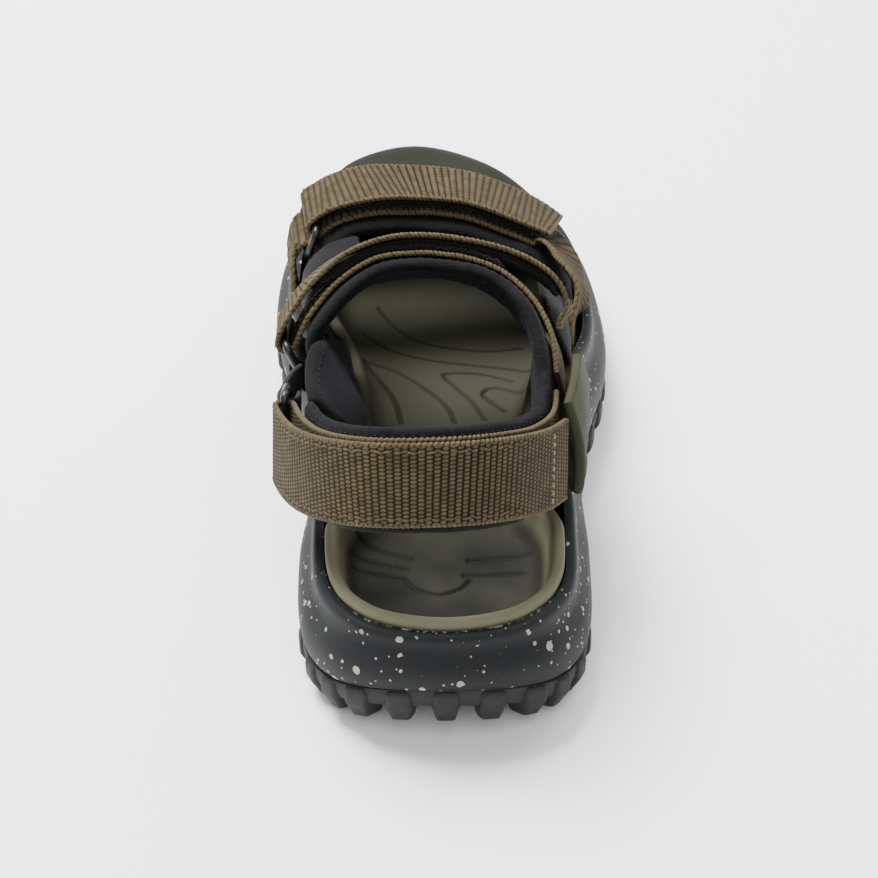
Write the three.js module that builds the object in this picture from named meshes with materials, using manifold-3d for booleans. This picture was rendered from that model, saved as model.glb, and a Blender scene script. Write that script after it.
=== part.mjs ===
// A right-foot strappy sport sandal: a lugged rubber outsole, a foam midsole with a moulded footbed in it,
// padded linings, and three webbing straps that turn back through rings and close with hook and loop tape.
// Millimetres, +Z up, +Y towards the toe, +X towards the outside (lateral side) of the foot.
import * as THREE from "three";
import { ConvexGeometry } from "three/addons/geometries/ConvexGeometry.js";
import { mergeVertices } from "three/addons/utils/BufferGeometryUtils.js";
import Module from "manifold-3d";

// ---- Driving dimensions ----
const LENGTH = 268; // heel to toe of the sole, along Y
const SOLE_STATIONS = 36; // stations on each side of the sole outline
const WEBBING_WIDTH = 24;
const WEBBING_THICK = 1.8;
const TAPE_WIDTH = 20;
const TAPE_THICK = 1.1;
const LAYER_GAP = 0.3; // between pieces that touch
const TREAD_DEPTH = 4.5;
const OUTSOLE_THICK = 8; // ground to the midsole, tread included
const WALL_INSET = 7.8; // sole outline to the midsole's inner wall
const RIM_THICK = 4.2; // footbed rim
const SLOT_WIDTH = 6.3; // room for the upper between footbed and midsole
const RING_WIRE = 1.25; // wire radius
const RING_LENGTH = 28; // between the centres of the ring's short bars
const RING_PITCH = 9; // between the centres of its long bars
const TURN_SPACING = 5.3; // between the middles of a strap's two layers, both tapes between them
const ANCHOR_SPACING = 5.4; // the same for an anchor loop, which leaves its ring a little play
const PADDING = 4; // thickness of a padded lining

const COLOURS = {
  rubber: [0x2b2d30, 0.75, 0],
  foam: [0x2e3136, 0.8, 0],
  footbed: [0x55553f, 0.6, 0],
  board: [0x8c8472, 0.9, 0],
  nylon: [0x1c1c1e, 0.5, 0],
  moulded: [0x66674f, 0.5, 0],
  lining: [0x1d1d21, 0.9, 0],
  webbing: [0x6b6046, 0.85, 0],
  tape: [0x1a1a1c, 0.95, 0],
  ring: [0x24272a, 0.35, 0],
};

const sandal = new THREE.Group();
const wasm = await Module();
wasm.setup();

// ---- Helpers ----

function material(name) {
  const [color, roughness, metalness] = COLOURS[name];
  return new THREE.MeshStandardMaterial({ color, roughness, metalness });
}

function add(name, geometry, colour) {
  const mesh = new THREE.Mesh(geometry, material(colour));
  mesh.name = name;
  sandal.add(mesh);
  return mesh;
}

const vec = ([x, y, z]) => new THREE.Vector3(x, y, z);
const spline = (points, closed = false) => new THREE.CatmullRomCurve3(points.map(vec), closed, "centripetal");
const joinPoints = (points) => new THREE.CatmullRomCurve3(points, false, "centripetal");
const smooth = (low, high, v) => THREE.MathUtils.smoothstep(v, low, high);
const mix = THREE.MathUtils.lerp;

// Joins rings of equal point counts into one closed solid. A loop joins its last ring to its first;
// otherwise both ends are capped by strips between point i and its opposite, so a ring may bend.
function loft(rings, loop = false) {
  const count = rings[0].length;
  const positions = rings.flat().flatMap((p) => [p.x, p.y, p.z]);
  const faces = [];
  const quad = (a, b, c, d) => faces.push(a, b, c, a, c, d);
  const spans = loop ? rings.length : rings.length - 1;
  for (let r = 0; r < spans; r++) {
    const here = r * count;
    const next = ((r + 1) % rings.length) * count;
    for (let i = 0; i < count; i++) {
      const j = (i + 1) % count;
      quad(here + i, here + j, next + j, next + i);
    }
  }
  const cap = (start, flip) => {
    for (let i = 0; i < count / 2 - 1; i++) {
      const [a, b] = [start + i, start + i + 1];
      const [c, d] = [start + count - 1 - (i + 1), start + count - 1 - i];
      if (flip) quad(a, d, c, b);
      else quad(a, b, c, d);
    }
  };
  if (!loop) {
    cap(0, true);
    cap((rings.length - 1) * count, false);
  }
  const geometry = new THREE.BufferGeometry();
  geometry.setAttribute("position", new THREE.Float32BufferAttribute(positions, 3));
  geometry.setIndex(faces);
  return facingOut(mergeVertices(geometry, 1e-4));
}

function facingOut(geometry) {
  const clean = withoutThinFaces(geometry);
  if (solid(clean).volume() > 0) return clean;
  const index = clean.index.array;
  for (let i = 0; i < index.length; i += 3) [index[i + 1], index[i + 2]] = [index[i + 2], index[i + 1]];
  return clean;
}

function withoutThinFaces(geometry) {
  const index = geometry.index.array;
  const kept = [];
  for (let i = 0; i < index.length; i += 3) {
    const [a, b, c] = index.slice(i, i + 3);
    if (a !== b && b !== c && a !== c) kept.push(a, b, c);
  }
  geometry.setIndex(kept);
  return geometry;
}

function solid(geometry) {
  const bare = geometry.clone();
  bare.deleteAttribute("normal");
  bare.deleteAttribute("uv");
  const merged = mergeVertices(bare, 1e-4);
  const vertProperties = new Float32Array(merged.attributes.position.array);
  const triVerts = new Uint32Array(merged.index.array);
  return new wasm.Manifold(new wasm.Mesh({ numProp: 3, vertProperties, triVerts }));
}

function geometryOf(manifold) {
  const mesh = manifold.getMesh();
  const positions = [];
  for (let i = 0; i < mesh.numVert; i++) {
    positions.push(...mesh.vertProperties.subarray(i * mesh.numProp, i * mesh.numProp + 3));
  }
  const geometry = new THREE.BufferGeometry();
  geometry.setAttribute("position", new THREE.Float32BufferAttribute(positions, 3));
  geometry.setIndex([...mesh.triVerts]);
  return geometry;
}

// ---- The sole's plan and heights ----

// Outline control points from the heel to the toe, one list for each side at matching stations.
const MEDIAL = [
  [0, 0], [-27, 7.5], [-40, 28], [-42.5, 60], [-39, 95],
  [-42, 130], [-49.5, 163], [-53, 193], [-49, 226], [-36, 253],
];
const LATERAL = [
  [0, 0], [27, 7.5], [40.5, 28], [43, 60], [42, 95],
  [46.5, 130], [52.5, 158], [53, 187], [46, 224], [26, 253],
];
const TOE = [-6, LENGTH - 0.5];
const OUTLINE = spline(
  [...MEDIAL, TOE, ...LATERAL.slice(1).reverse()].map(([x, y]) => [x, y, 0]),
  true,
);

// A point on the outline, moved inwards by inset. side is -1 medial or +1 lateral; station runs from 0 at
// the heel to 1 at the toe.
function planPoint(side, station, inset) {
  const u = ((side < 0 ? station : 2 - station) / 2) % 1;
  const point = OUTLINE.getPoint(u);
  const tangent = OUTLINE.getTangent(u);
  return new THREE.Vector3(point.x + tangent.y * inset, point.y - tangent.x * inset, 0);
}

const groundAt = (y) => 11 * Math.max(0, (34 - y) / 34) ** 2 + 13 * Math.max(0, (y - 188) / 80) ** 2;
const wallTopAt = (y) => {
  const heel = 38 - 2 * smooth(8, 26, y) + 5 * smooth(30, 95, y);
  return mix(heel, 30, smooth(110, 190, y)) + 0.6 * (y > 100 ? groundAt(y) : 0);
};
const floorAt = (y) => mix(27, 20, smooth(60, 190, y)) + (y > 100 ? 0.8 : 0.3) * groundAt(y);
const slotAt = (y) => mix(LAYER_GAP, SLOT_WIDTH, smooth(52, 68, y));

// A ring round the sole: insetAt and heightAt are functions of y.
function soleRing(insetAt, heightAt) {
  const ring = [];
  const place = (side, station) => {
    const y = planPoint(side, station, 0).y;
    const point = planPoint(side, station, insetAt(y));
    point.z = heightAt(y);
    ring.push(point);
  };
  for (let i = 0; i < SOLE_STATIONS; i++) place(-1, (i + 0.5) / SOLE_STATIONS);
  for (let i = SOLE_STATIONS - 1; i >= 0; i--) place(1, (i + 0.5) / SOLE_STATIONS);
  return ring;
}

// ---- Sole unit ----

// A lug is a block with a narrow foot: a convex solid set square to the outline.
function lug(station, side, { length, foot, inner, outer, height }) {
  const at = (along, inset, z) => {
    const base = planPoint(side, station, inset);
    const ahead = planPoint(side, station + 0.002, inset).sub(base).normalize();
    return base.addScaledVector(ahead, along).setZ(z + groundAt(base.y));
  };
  const corners = [];
  for (const sign of [-1, 1]) {
    corners.push(at((sign * foot) / 2, inner, 0), at((sign * foot) / 2, outer + 2.4, 0));
    corners.push(at((sign * length) / 2, outer, 5), at((sign * length) / 2, outer + 0.9, height));
    corners.push(at((sign * length) / 2, inner, height));
  }
  return new ConvexGeometry(corners);
}

function outsole() {
  const base = loft([
    soleRing(() => 6, (y) => groundAt(y) + TREAD_DEPTH),
    soleRing(() => 2.2, (y) => groundAt(y) + TREAD_DEPTH),
    soleRing(() => 1.4, (y) => groundAt(y) + OUTSOLE_THICK - LAYER_GAP),
    soleRing(() => 6, (y) => groundAt(y) + OUTSOLE_THICK - LAYER_GAP),
  ]);
  let rubber = solid(base);
  const perSide = 21;
  const size = { length: 9, foot: 6.2, inner: 11, outer: -0.2, height: OUTSOLE_THICK - 1 };
  for (const side of [-1, 1]) {
    for (let i = 0; i < perSide; i++) {
      const station = (side < 0 ? i : i + 1) / perSide; // one lug at the heel's middle and one at the toe's
      rubber = rubber.add(solid(lug(station, side, size)));
    }
  }
  for (let i = 0; i < 13; i++) {
    const y = 27 + i * 17.3;
    const bar = new THREE.BoxGeometry(i % 2 ? 30 : 42, 7, TREAD_DEPTH);
    bar.translate(i % 2 ? -1 : 0, y, TREAD_DEPTH / 2 + 0.6 + groundAt(y));
    rubber = rubber.add(solid(mergeVertices(bar)));
  }
  return geometryOf(rubber);
}

// The midsole is a bowl: its wall flares out to a shoulder, turns in to a narrow top edge and drops to a
// flat bed. Each wall entry is a share of the wall's height and the inset from the outline there.
function midsole() {
  const wall = [[0, 1.8], [0.12, 0.7], [0.32, 0], [0.55, 0.5], [0.76, 2.5], [0.93, 4.2], [1, 5.6]];
  const rings = [soleRing(() => 6, (y) => groundAt(y) + OUTSOLE_THICK)];
  for (const [share, inset] of wall) {
    rings.push(soleRing(() => inset, (y) => mix(groundAt(y) + OUTSOLE_THICK, wallTopAt(y), share)));
  }
  rings.push(soleRing(() => WALL_INSET, wallTopAt));
  rings.push(soleRing(() => WALL_INSET, (y) => floorAt(y) - 6));
  return loft(rings);
}

function insoleBoard() {
  const edge = () => WALL_INSET + 0.4;
  return loft([soleRing(edge, (y) => floorAt(y) - 5.7), soleRing(edge, (y) => floorAt(y) - 4.3)]);
}

// The footbed is a shallow bowl with a rolled rim. It stands on the board, inside the upper's slot.
function footbed() {
  const outer = (y) => WALL_INSET + slotAt(y);
  const rim = (y) => wallTopAt(y) + 2.6;
  return loft([
    soleRing((y) => outer(y) + 1.6, (y) => floorAt(y) - 4),
    soleRing((y) => outer(y) + 0.8, (y) => wallTopAt(y) - 3),
    soleRing(outer, (y) => rim(y) - 1),
    soleRing((y) => outer(y) + 1.4, (y) => rim(y) + 0.4),
    soleRing((y) => outer(y) + RIM_THICK - 0.9, (y) => rim(y) - 0.3),
    soleRing((y) => outer(y) + RIM_THICK, (y) => rim(y) - 2.4),
    soleRing((y) => outer(y) + RIM_THICK + 2, (y) => mix(floorAt(y), rim(y), 0.3)),
    soleRing((y) => outer(y) + RIM_THICK + 7, floorAt),
  ]);
}

// A point in the slot: at depth inside the wall's top edge, on one side of the foot.
function slotPoint(side, y, depth, z) {
  let [low, high] = [0.02, 0.98];
  for (let i = 0; i < 30; i++) {
    const middle = (low + high) / 2;
    if (planPoint(side, middle, 0).y < y) low = middle;
    else high = middle;
  }
  return planPoint(side, low, WALL_INSET + depth).setZ(z);
}

// ---- Moulded and padded panels ----

// A panel is a smooth sheet through a net of points (columns of points from its foot to its top edge),
// given thickness along its normal. soft thins it towards its edges, as a padded panel is.
function panel(net, { across, along, thick, soft = false }) {
  const columns = net.map((column) => joinPoints(column.map((p) => (Array.isArray(p) ? vec(p) : p))));
  const grid = [];
  for (let i = 0; i <= along; i++) {
    const row = joinPoints(columns.map((curve) => curve.getPoint(i / along)));
    grid.push([...Array(across + 1).keys()].map((j) => row.getPoint(j / across)));
  }
  const rings = grid.map((row, i) => {
    const halves = row.map((point, j) => {
      const u = row[Math.min(j + 1, across)].clone().sub(row[Math.max(j - 1, 0)]);
      const v = grid[Math.min(i + 1, along)][j].clone().sub(grid[Math.max(i - 1, 0)][j]);
      const edge = Math.min(i, along - i, j, across - j);
      const share = soft ? [0.35, 0.85, 1][Math.min(edge, 2)] : 1;
      return u.cross(v).setLength((thick / 2) * share);
    });
    const near = row.map((point, j) => point.clone().add(halves[j]));
    const far = row.map((point, j) => point.clone().sub(halves[j])).reverse();
    return [...near, ...far];
  });
  return loft(rings);
}

// Olive shell over the toes. Its lower edge stands in the slot all round the front of the sole.
function toeCap() {
  const foot = (side, station, tops) => {
    const low = planPoint(side, station, WALL_INSET + 2.5);
    const z = floorAt(low.y);
    return [low.clone().setZ(z), low.clone().setZ(wallTopAt(low.y) + 3), ...tops];
  };
  return panel(
    [
      foot(-1, 0.79, [[-43, 208, 41], [-41.5, 206, 45], [-38.5, 206, 48.5]]),
      foot(-1, 0.88, [[-37, 226, 43.5], [-32.5, 218, 48.5], [-28.5, 209, 52]]),
      foot(-1, 0.94, [[-28, 240, 45.5], [-24, 229, 50], [-19, 211, 54]]),
      foot(-1, 1, [[-8.5, 248, 46.2], [-8, 233, 50], [-7, 212, 54]]),
      foot(1, 0.93, [[15.5, 240, 44.5], [12, 229, 48.6], [8, 210, 52.5]]),
      foot(1, 0.86, [[30, 225, 41.5], [25.5, 217, 45.5], [21, 207, 49]]),
      foot(1, 0.78, [[41, 202, 38], [38, 201, 42], [33, 201, 45]]),
    ],
    { across: 24, along: 12, thick: 2 },
  );
}

// Olive wing outside the foot: it rises from the slot and sweeps back to the two straps sewn inside it.
function lateralWing() {
  const low = (y, z) => slotPoint(1, y, 1.6, z);
  return panel(
    [
      [low(94, 24), low(91, 43), [38.8, 61, 45], [39, 60, 62], [35, 61, 78]],
      [low(112, 24), low(110, 45), [41, 84, 53], [40.6, 76, 65], [37.6, 74, 78]],
      [low(134, 22), low(132, 41), [43, 114, 48], [42, 99, 60], [39, 88, 76]],
    ],
    { across: 8, along: 16, thick: 2.2 },
  );
}

function medialWing() {
  const low = (y, z) => slotPoint(-1, y, 4.3, z);
  return panel(
    [
      [low(82, 26), low(80, 45), [-33.6, 70, 57], [-38, 64, 70]],
      [low(104, 26), low(103, 45), [-32.6, 94, 54], [-36.6, 90, 63]],
      [low(132, 24), low(131, 41.5), [-31.5, 124, 47], [-34.6, 118, 52]],
    ],
    { across: 8, along: 12, thick: 1.6 },
  );
}

// ---- Bands that wrap the foot ----

// A band follows a wrap between two of its rows. reach is how far it goes to each side of the middle line,
// bottom and top are its faces along the outward normal, and thin holds how many rows at each end are flat.
function band(wrap, from, to, { reach, bottom, top, padded = false, thin = [0, 0], perRow = 2 }) {
  const stations = [from];
  for (let i = Math.ceil(from * perRow + 0.2); i < to * perRow - 0.2; i++) stations.push(i / perRow);
  stations.push(to);
  const square = [[-1, 0], [-1, 1], [1, 1], [1, 0]];
  const pad = [[-1, 0.32], [-1, 0.68], [-0.8, 1], [0.8, 1], [1, 0.68], [1, 0.32], [0.8, 0], [-0.8, 0]];
  const rings = stations.map((at) => {
    const { point, side, out } = wrap.at(at);
    const [start, end] = thin;
    const swell = (start ? smooth(start - 1, start, at) : 1) * (end ? smooth(end - 1, end, to - at) : 1);
    const full = mix(0.45, 1, swell);
    return (padded ? pad : square).map(([s, n]) => {
      const depth = mix(bottom, top, 0.5 + (n - 0.5) * full);
      const across = Math.abs(s) * reach[s < 0 ? 0 : 1];
      return point.clone().addScaledVector(side, across).addScaledVector(out, depth);
    });
  });
  return loft(rings);
}

// A wrap is the middle line of a band. Each row holds a point and the direction of the width there.
function wrapOf(rows) {
  const line = joinPoints(rows.map(([point]) => point));
  const widths = joinPoints(rows.map(([, side]) => side));
  const at = (row) => {
    const t = Math.min(1, row / (rows.length - 1));
    const along = line.getTangent(t);
    const side = widths.getPoint(t);
    side.addScaledVector(along, -side.dot(along)).normalize();
    return { point: line.getPoint(t), along, side, out: new THREE.Vector3().crossVectors(along, side) };
  };
  return { at, rows, last: rows.length - 1 };
}

const TURN_STEPS = 6;

// Turns a band back on itself round a bar: out along the base rows, round the bar, then back over the
// rows listed in retrace, spaced off the base. tail rows follow those.
function turnedWrap(base, spacing, retrace, tail = []) {
  const inner = wrapOf(base);
  const end = inner.at(inner.last);
  const radius = spacing / 2;
  const centre = end.point.clone().addScaledVector(end.out, -radius);
  const turn = [];
  for (let i = 1; i <= TURN_STEPS; i++) {
    const angle = (Math.PI * i) / TURN_STEPS;
    const point = centre.clone().addScaledVector(end.out, radius * Math.cos(angle));
    turn.push([point.addScaledVector(end.along, radius * Math.sin(angle)), end.side]);
  }
  const back = retrace.map((row) => {
    const { point, side, out } = inner.at(row);
    return [point.addScaledVector(out, -spacing), side];
  });
  const wrap = wrapOf([...base, ...turn, ...back, ...tail]);
  return { ...wrap, inner, centre, axis: end.side, along: end.along, hinge: inner.last + TURN_STEPS };
}

const row = (point, side) => [Array.isArray(point) ? vec(point) : point, vec(side)];

// ---- Straps ----
// A strap is one length of webbing. It leaves the outside of the foot, crosses it as the inner layer, turns
// round the ring's bar and lies back over itself as the flap. grip is the row where the pull end starts.
const STRAPS = {
  forefoot: {
    base: [
      row(slotPoint(1, 150, 2.4, 24), [0.1, 0.87, -0.48]),
      row(slotPoint(1, 154, 2.5, 30), [0.1, 0.87, -0.48]),
      row(slotPoint(1, 158, 3, 37), [0.1, 0.87, -0.48]), row([43.6, 166.5, 43], [0.12, 0.88, -0.46]),
      row([41, 177, 46], [0.06, 0.93, -0.35]),
      row([35.8, 188, 48.5], [0, 0.97, -0.2]), row([25, 192, 53.6], [0, 0.99, -0.13]),
      row([8.5, 195, 59], [0, 0.99, -0.13]), row([-10, 194, 62], [0, 0.99, -0.13]),
      row([-22, 191, 63.8], [0, 0.99, -0.1]), row([-32.4, 188.4, 62.3], [0, 0.99, -0.08]),
      row([-38.6, 187.4, 58.6], [0, 0.99, -0.05]),
    ],
    retrace: [10.5, 10, 9, 8, 7, 6, 5.5, 5.1],
    tail: [],
    loop: [5.4, 9.4],
    ringDrop: [-0.3, -0.3, -0.9],
  },
  instep: {
    base: [
      row([34.8, 91, 61], [0.12, 0.66, -0.74]), row([33.2, 104.5, 68.6], [0.12, 0.66, -0.74]),
      row([26.6, 117.5, 74.2], [0.06, 0.74, -0.67]), row([17, 126, 78.4], [0, 0.78, -0.63]),
      row([5, 130.5, 80.8], [0, 0.79, -0.61]), row([-8, 131.2, 81.5], [0, 0.79, -0.61]),
      row([-20, 129.4, 81], [0, 0.8, -0.6]), row([-31, 124.6, 77.4], [0, 0.86, -0.5]),
      row([-39.4, 119, 70.6], [0, 0.92, -0.4]), row([-44, 116.4, 62.6], [0, 0.95, -0.31]),
    ],
    retrace: [8.4, 7.6, 6.6, 5.6, 4.6, 3.8],
    tail: [
      row([17, 131.8, 83.2], [0, 0.79, -0.61]), row([27, 129, 79.8], [0, 0.78, -0.63]),
      row([34.4, 125.4, 75.4], [0.05, 0.76, -0.64]), row([37.6, 122, 69.8], [0.08, 0.76, -0.64]),
      row([36.4, 119.6, 64.6], [0.08, 0.76, -0.64]),
    ],
    loop: [2.9, 7.2],
    ringDrop: [0.42, 0, -0.9],
  },
  heel: {
    base: [
      row([33.2, 77, 57.5], [0, 0.38, 0.92]), row([31.4, 61, 60.6], [0, 0.38, 0.92]),
      row([25, 45.5, 67], [0, 0.38, 0.92]), row([15.4, 31.5, 75.2], [0, 0.38, 0.92]),
      row([4, 23.2, 80], [0, 0.38, 0.92]), row([-8, 20.4, 81.7], [0, 0.38, 0.92]),
      row([-19.5, 22.6, 80.4], [0, 0.38, 0.92]), row([-29.5, 31, 75.4], [0, 0.38, 0.92]),
      row([-36.4, 43.5, 68.6], [0, 0.38, 0.92]), row([-40.8, 56, 63.6], [0, 0.38, 0.92]),
      row([-43.4, 67, 60.6], [0, 0.36, 0.93]),
    ],
    retrace: [9, 8, 7, 6, 5, 4, 3, 2, 1.35],
    tail: [],
    loop: [1.7, 8.4],
    ringDrop: [0.1, 0.97, -0.26],
  },
};

// Anchors hold the rings: each rises from its foot and loops round the ring's other bar.
const ANCHORS = {
  forefoot: [
    row(slotPoint(-1, 170, 2.1, 21), [-0.12, 1, 0]), row(slotPoint(-1, 170, 2.1, 33), [-0.12, 1, 0]),
    row([-45.4, 175.5, 41], [-0.1, 1, -0.1]),
  ],
  instep: [
    row(slotPoint(-1, 115, 1.2, 26), [-0.06, 1, 0]), row(slotPoint(-1, 115, 1.4, 42.6), [-0.06, 1, -0.05]),
    row([-36.4, 115, 46.6], [0, 0.98, -0.2]),
  ],
  heel: [
    row([-42.6, 98, 53.5], [0.1, 0.3, 0.95]), row([-45, 91, 55], [0.06, 0.32, 0.94]),
  ],
};

// ---- Padded linings ----

const LINING_DEPTH = WEBBING_THICK / 2 + LAYER_GAP + 0.6 + PADDING / 2; // from the webbing's middle

// A lining band runs inside a strap, on the foot's side, between two rows of the strap's inner layer.
function liningBand(strap, [from, to], reach, thin, before = [], after = []) {
  const inner = wrapOf(strap.base);
  const rows = [];
  for (let i = from; i <= to + 1e-6; i += (to - from) / Math.round(to - from)) {
    const { point, side, out } = inner.at(i);
    rows.push([point.addScaledVector(out, LINING_DEPTH), side]);
  }
  const wrap = wrapOf([...before, ...rows, ...after]);
  const sizes = { reach, bottom: -PADDING / 2, top: PADDING / 2, padded: true, thin };
  return band(wrap, 0, wrap.last, sizes);
}

function forefootLining() {
  const lateral = [row(slotPoint(1, 185, 4.9, 22), [0, 1, 0]), row(slotPoint(1, 185, 4.9, 34), [0, 1, -0.1])];
  const medial = [
    row([-38, 184, 51], [0, 1, 0]), row([-38, 182, 42], [-0.05, 1, 0]),
    row(slotPoint(-1, 179, 5, 33), [-0.08, 1, 0]), row(slotPoint(-1, 179, 5.1, 22), [-0.08, 1, 0]),
  ];
  return liningBand(STRAPS.forefoot, [5, 10], [-16, 11], [3, 4], lateral, medial);
}

function instepLining() {
  const medial = [row([-36.8, 117, 59.5], [0, 0.96, -0.27])];
  return liningBand(STRAPS.instep, [1, 8.4], [-16, 14], [1, 1], [], medial);
}

const heelLining = () => liningBand(STRAPS.heel, [1.6, 9], [-16.5, 14.5], [1, 1]);

// Padded panel up the inside of the ankle; its rear edge is free.
function medialCollar() {
  return panel(
    [
      [[-24.5, 80, 48.5], [-28.2, 73, 58], [-33.4, 68, 67], [-38, 66, 75]],
      [[-23.6, 94, 48.5], [-27, 89, 57.5], [-33, 84, 66.5], [-39.6, 81, 75.5]],
      [[-27, 109, 48.5], [-28.8, 104, 55], [-32.2, 98, 63.5], [-38, 94, 75.5]],
      [[-29.4, 128, 48.5], [-30.6, 125, 53], [-31.2, 121, 58], [-32.4, 111, 66]],
    ],
    { across: 8, along: 9, thick: PADDING, soft: true },
  );
}

function lateralCollar() {
  return panel(
    [
      [[28.2, 68, 47.6], [27.8, 63, 57], [27, 61.4, 66], [27.2, 60.6, 74]],
      [[28, 88, 48], [28.8, 83, 57], [28.4, 79, 66], [29.2, 75, 75]],
      [[29.4, 112, 47.6], [30.6, 106, 53.5], [29, 96, 64], [28.8, 85.5, 76]],
    ],
    { across: 8, along: 9, thick: PADDING, soft: true },
  );
}

// Padded panels that close the sides between the instep and forefoot straps.
function medialQuarter() {
  const low = (y, z) => slotPoint(-1, y, 3.9, z);
  return panel(
    [
      [low(138, 24), low(137, 41), [-40.5, 136, 54], [-39, 138, 63], [-31, 141.5, 68.5], [-23, 143.5, 70.5]],
      [low(150, 24), low(149, 39), [-42, 149, 51], [-40.5, 150, 60.5], [-33, 153, 66.5], [-24, 155, 69]],
      [low(160, 24), low(160, 37), [-42.4, 162, 48], [-41, 163.5, 57], [-34.5, 166, 62.5], [-25, 167.5, 65]],
    ],
    { across: 8, along: 14, thick: 2, soft: true },
  );
}

function lateralQuarter() {
  const low = (y, z) => slotPoint(1, y, 4.4, z);
  return panel(
    [
      [low(130, 24), low(129, 42.5), [39, 121, 50], [37.6, 119.5, 56]],
      [low(138, 24), low(138, 41), [39, 132, 48], [37.6, 129, 54]],
      [low(146, 23), low(147, 38), [38, 144, 45], [36.6, 141, 51.5]],
    ],
    { across: 8, along: 10, thick: 2, soft: true },
  );
}

// The ring is a rounded rectangle of round wire; axis is along its long bars, drop from the strap's bar to
// the anchor's.
function ring(centre, axis, drop) {
  const normal = new THREE.Vector3().crossVectors(axis, drop).normalize();
  const corner = 2.2;
  const rings = [];
  const corners = [[1, 0], [1, 1], [-1, 1], [-1, 0]];
  corners.forEach(([long, short], index) => {
    for (let i = 0; i <= 3; i++) {
      const angle = (Math.PI / 2) * (index - 1 + i / 3);
      const a = long * (RING_LENGTH / 2 - corner) + corner * Math.cos(angle);
      const d = (short ? RING_PITCH - corner : corner) + corner * Math.sin(angle);
      const middle = centre.clone().addScaledVector(axis, a).addScaledVector(drop, d);
      const radial = axis.clone().multiplyScalar(Math.cos(angle)).addScaledVector(drop, Math.sin(angle));
      rings.push(
        [0, 1, 2, 3, 4, 5, 6, 7].map((k) => {
          const turn = (Math.PI * 2 * k) / 8;
          const wire = middle.clone().addScaledVector(radial, RING_WIRE * Math.cos(turn));
          return wire.addScaledVector(normal, RING_WIRE * Math.sin(turn));
        }),
      );
    }
  });
  return loft(rings, true);
}

// ---- Assembly ----

add("outsole", outsole(), "rubber");
add("midsole", midsole(), "foam");
add("insole_board", insoleBoard(), "board");
add("footbed", footbed(), "footbed");
add("toe_cap", toeCap(), "moulded");
add("lateral_wing", lateralWing(), "moulded");
add("medial_wing", medialWing(), "nylon");
add("forefoot_lining", forefootLining(), "lining");
add("instep_lining", instepLining(), "lining");
add("heel_lining", heelLining(), "lining");
add("medial_collar", medialCollar(), "lining");
add("lateral_collar", lateralCollar(), "lining");
add("medial_quarter", medialQuarter(), "lining");
add("lateral_quarter", lateralQuarter(), "lining");

const half = WEBBING_THICK / 2;
const webbing = { reach: [-WEBBING_WIDTH / 2, WEBBING_WIDTH / 2], bottom: -half, top: half };
const tapeReach = [-TAPE_WIDTH / 2, TAPE_WIDTH / 2];
const tapeTop = -half - LAYER_GAP - 0.15;
const tapeSizes = { reach: tapeReach, bottom: tapeTop - TAPE_THICK, top: tapeTop };
const slit = 0.03; // rows left open where two lengths of the webbing meet

for (const [name, strap] of Object.entries(STRAPS)) {
  const wrap = turnedWrap(strap.base, TURN_SPACING, strap.retrace, strap.tail);
  const grip = wrap.last - 1.5;
  add(`${name}_strap`, band(wrap, 0, wrap.hinge - slit, webbing), "webbing");
  add(`${name}_flap`, band(wrap, wrap.hinge + slit, grip - slit, webbing), "webbing");
  add(`${name}_grip`, band(wrap, grip + slit, wrap.last, webbing), "webbing");
  add(`${name}_loop_tape`, band(wrap, ...strap.loop, tapeSizes), "tape");
  add(`${name}_hook_tape`, band(wrap, wrap.hinge + 2, grip - slit, tapeSizes), "tape");
  const drop = vec(strap.ringDrop);
  drop.addScaledVector(wrap.axis, -drop.dot(wrap.axis)).normalize();
  add(`${name}_ring`, ring(wrap.centre, wrap.axis, drop), "ring");
  const bar = wrap.centre.clone().addScaledVector(drop, RING_PITCH);
  const up = drop.clone().negate();
  const out = new THREE.Vector3().crossVectors(up, wrap.axis);
  const start = bar.clone().addScaledVector(out, ANCHOR_SPACING / 2);
  const approach = [start.clone().addScaledVector(up, -4), start].map((p) => [p, wrap.axis]);
  const anchor = turnedWrap([...ANCHORS[name], ...approach], ANCHOR_SPACING, [ANCHORS[name].length]);
  add(`${name}_anchor`, band(anchor, 0, anchor.last, { ...webbing, reach: [-11, 11] }), "nylon");
}

// The origin is under the middle of the sandal, on the ground.
const bounds = new THREE.Box3().setFromObject(sandal, true);
sandal.position.set(-(bounds.min.x + bounds.max.x) / 2, -(bounds.min.y + bounds.max.y) / 2, -bounds.min.z);

export default sandal;
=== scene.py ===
"""A right-foot strappy sport sandal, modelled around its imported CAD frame.

Lengths in this script are millimetres in the sandal's own frame: x towards the outside of the foot, y from
the back of the heel (0) to the toe, z up from the ground. to_row() turns them into the frame's metres.
"""
import math

import bmesh
import bpy
import numpy as np
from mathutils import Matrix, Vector
from mathutils.bvhtree import BVHTree


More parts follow.
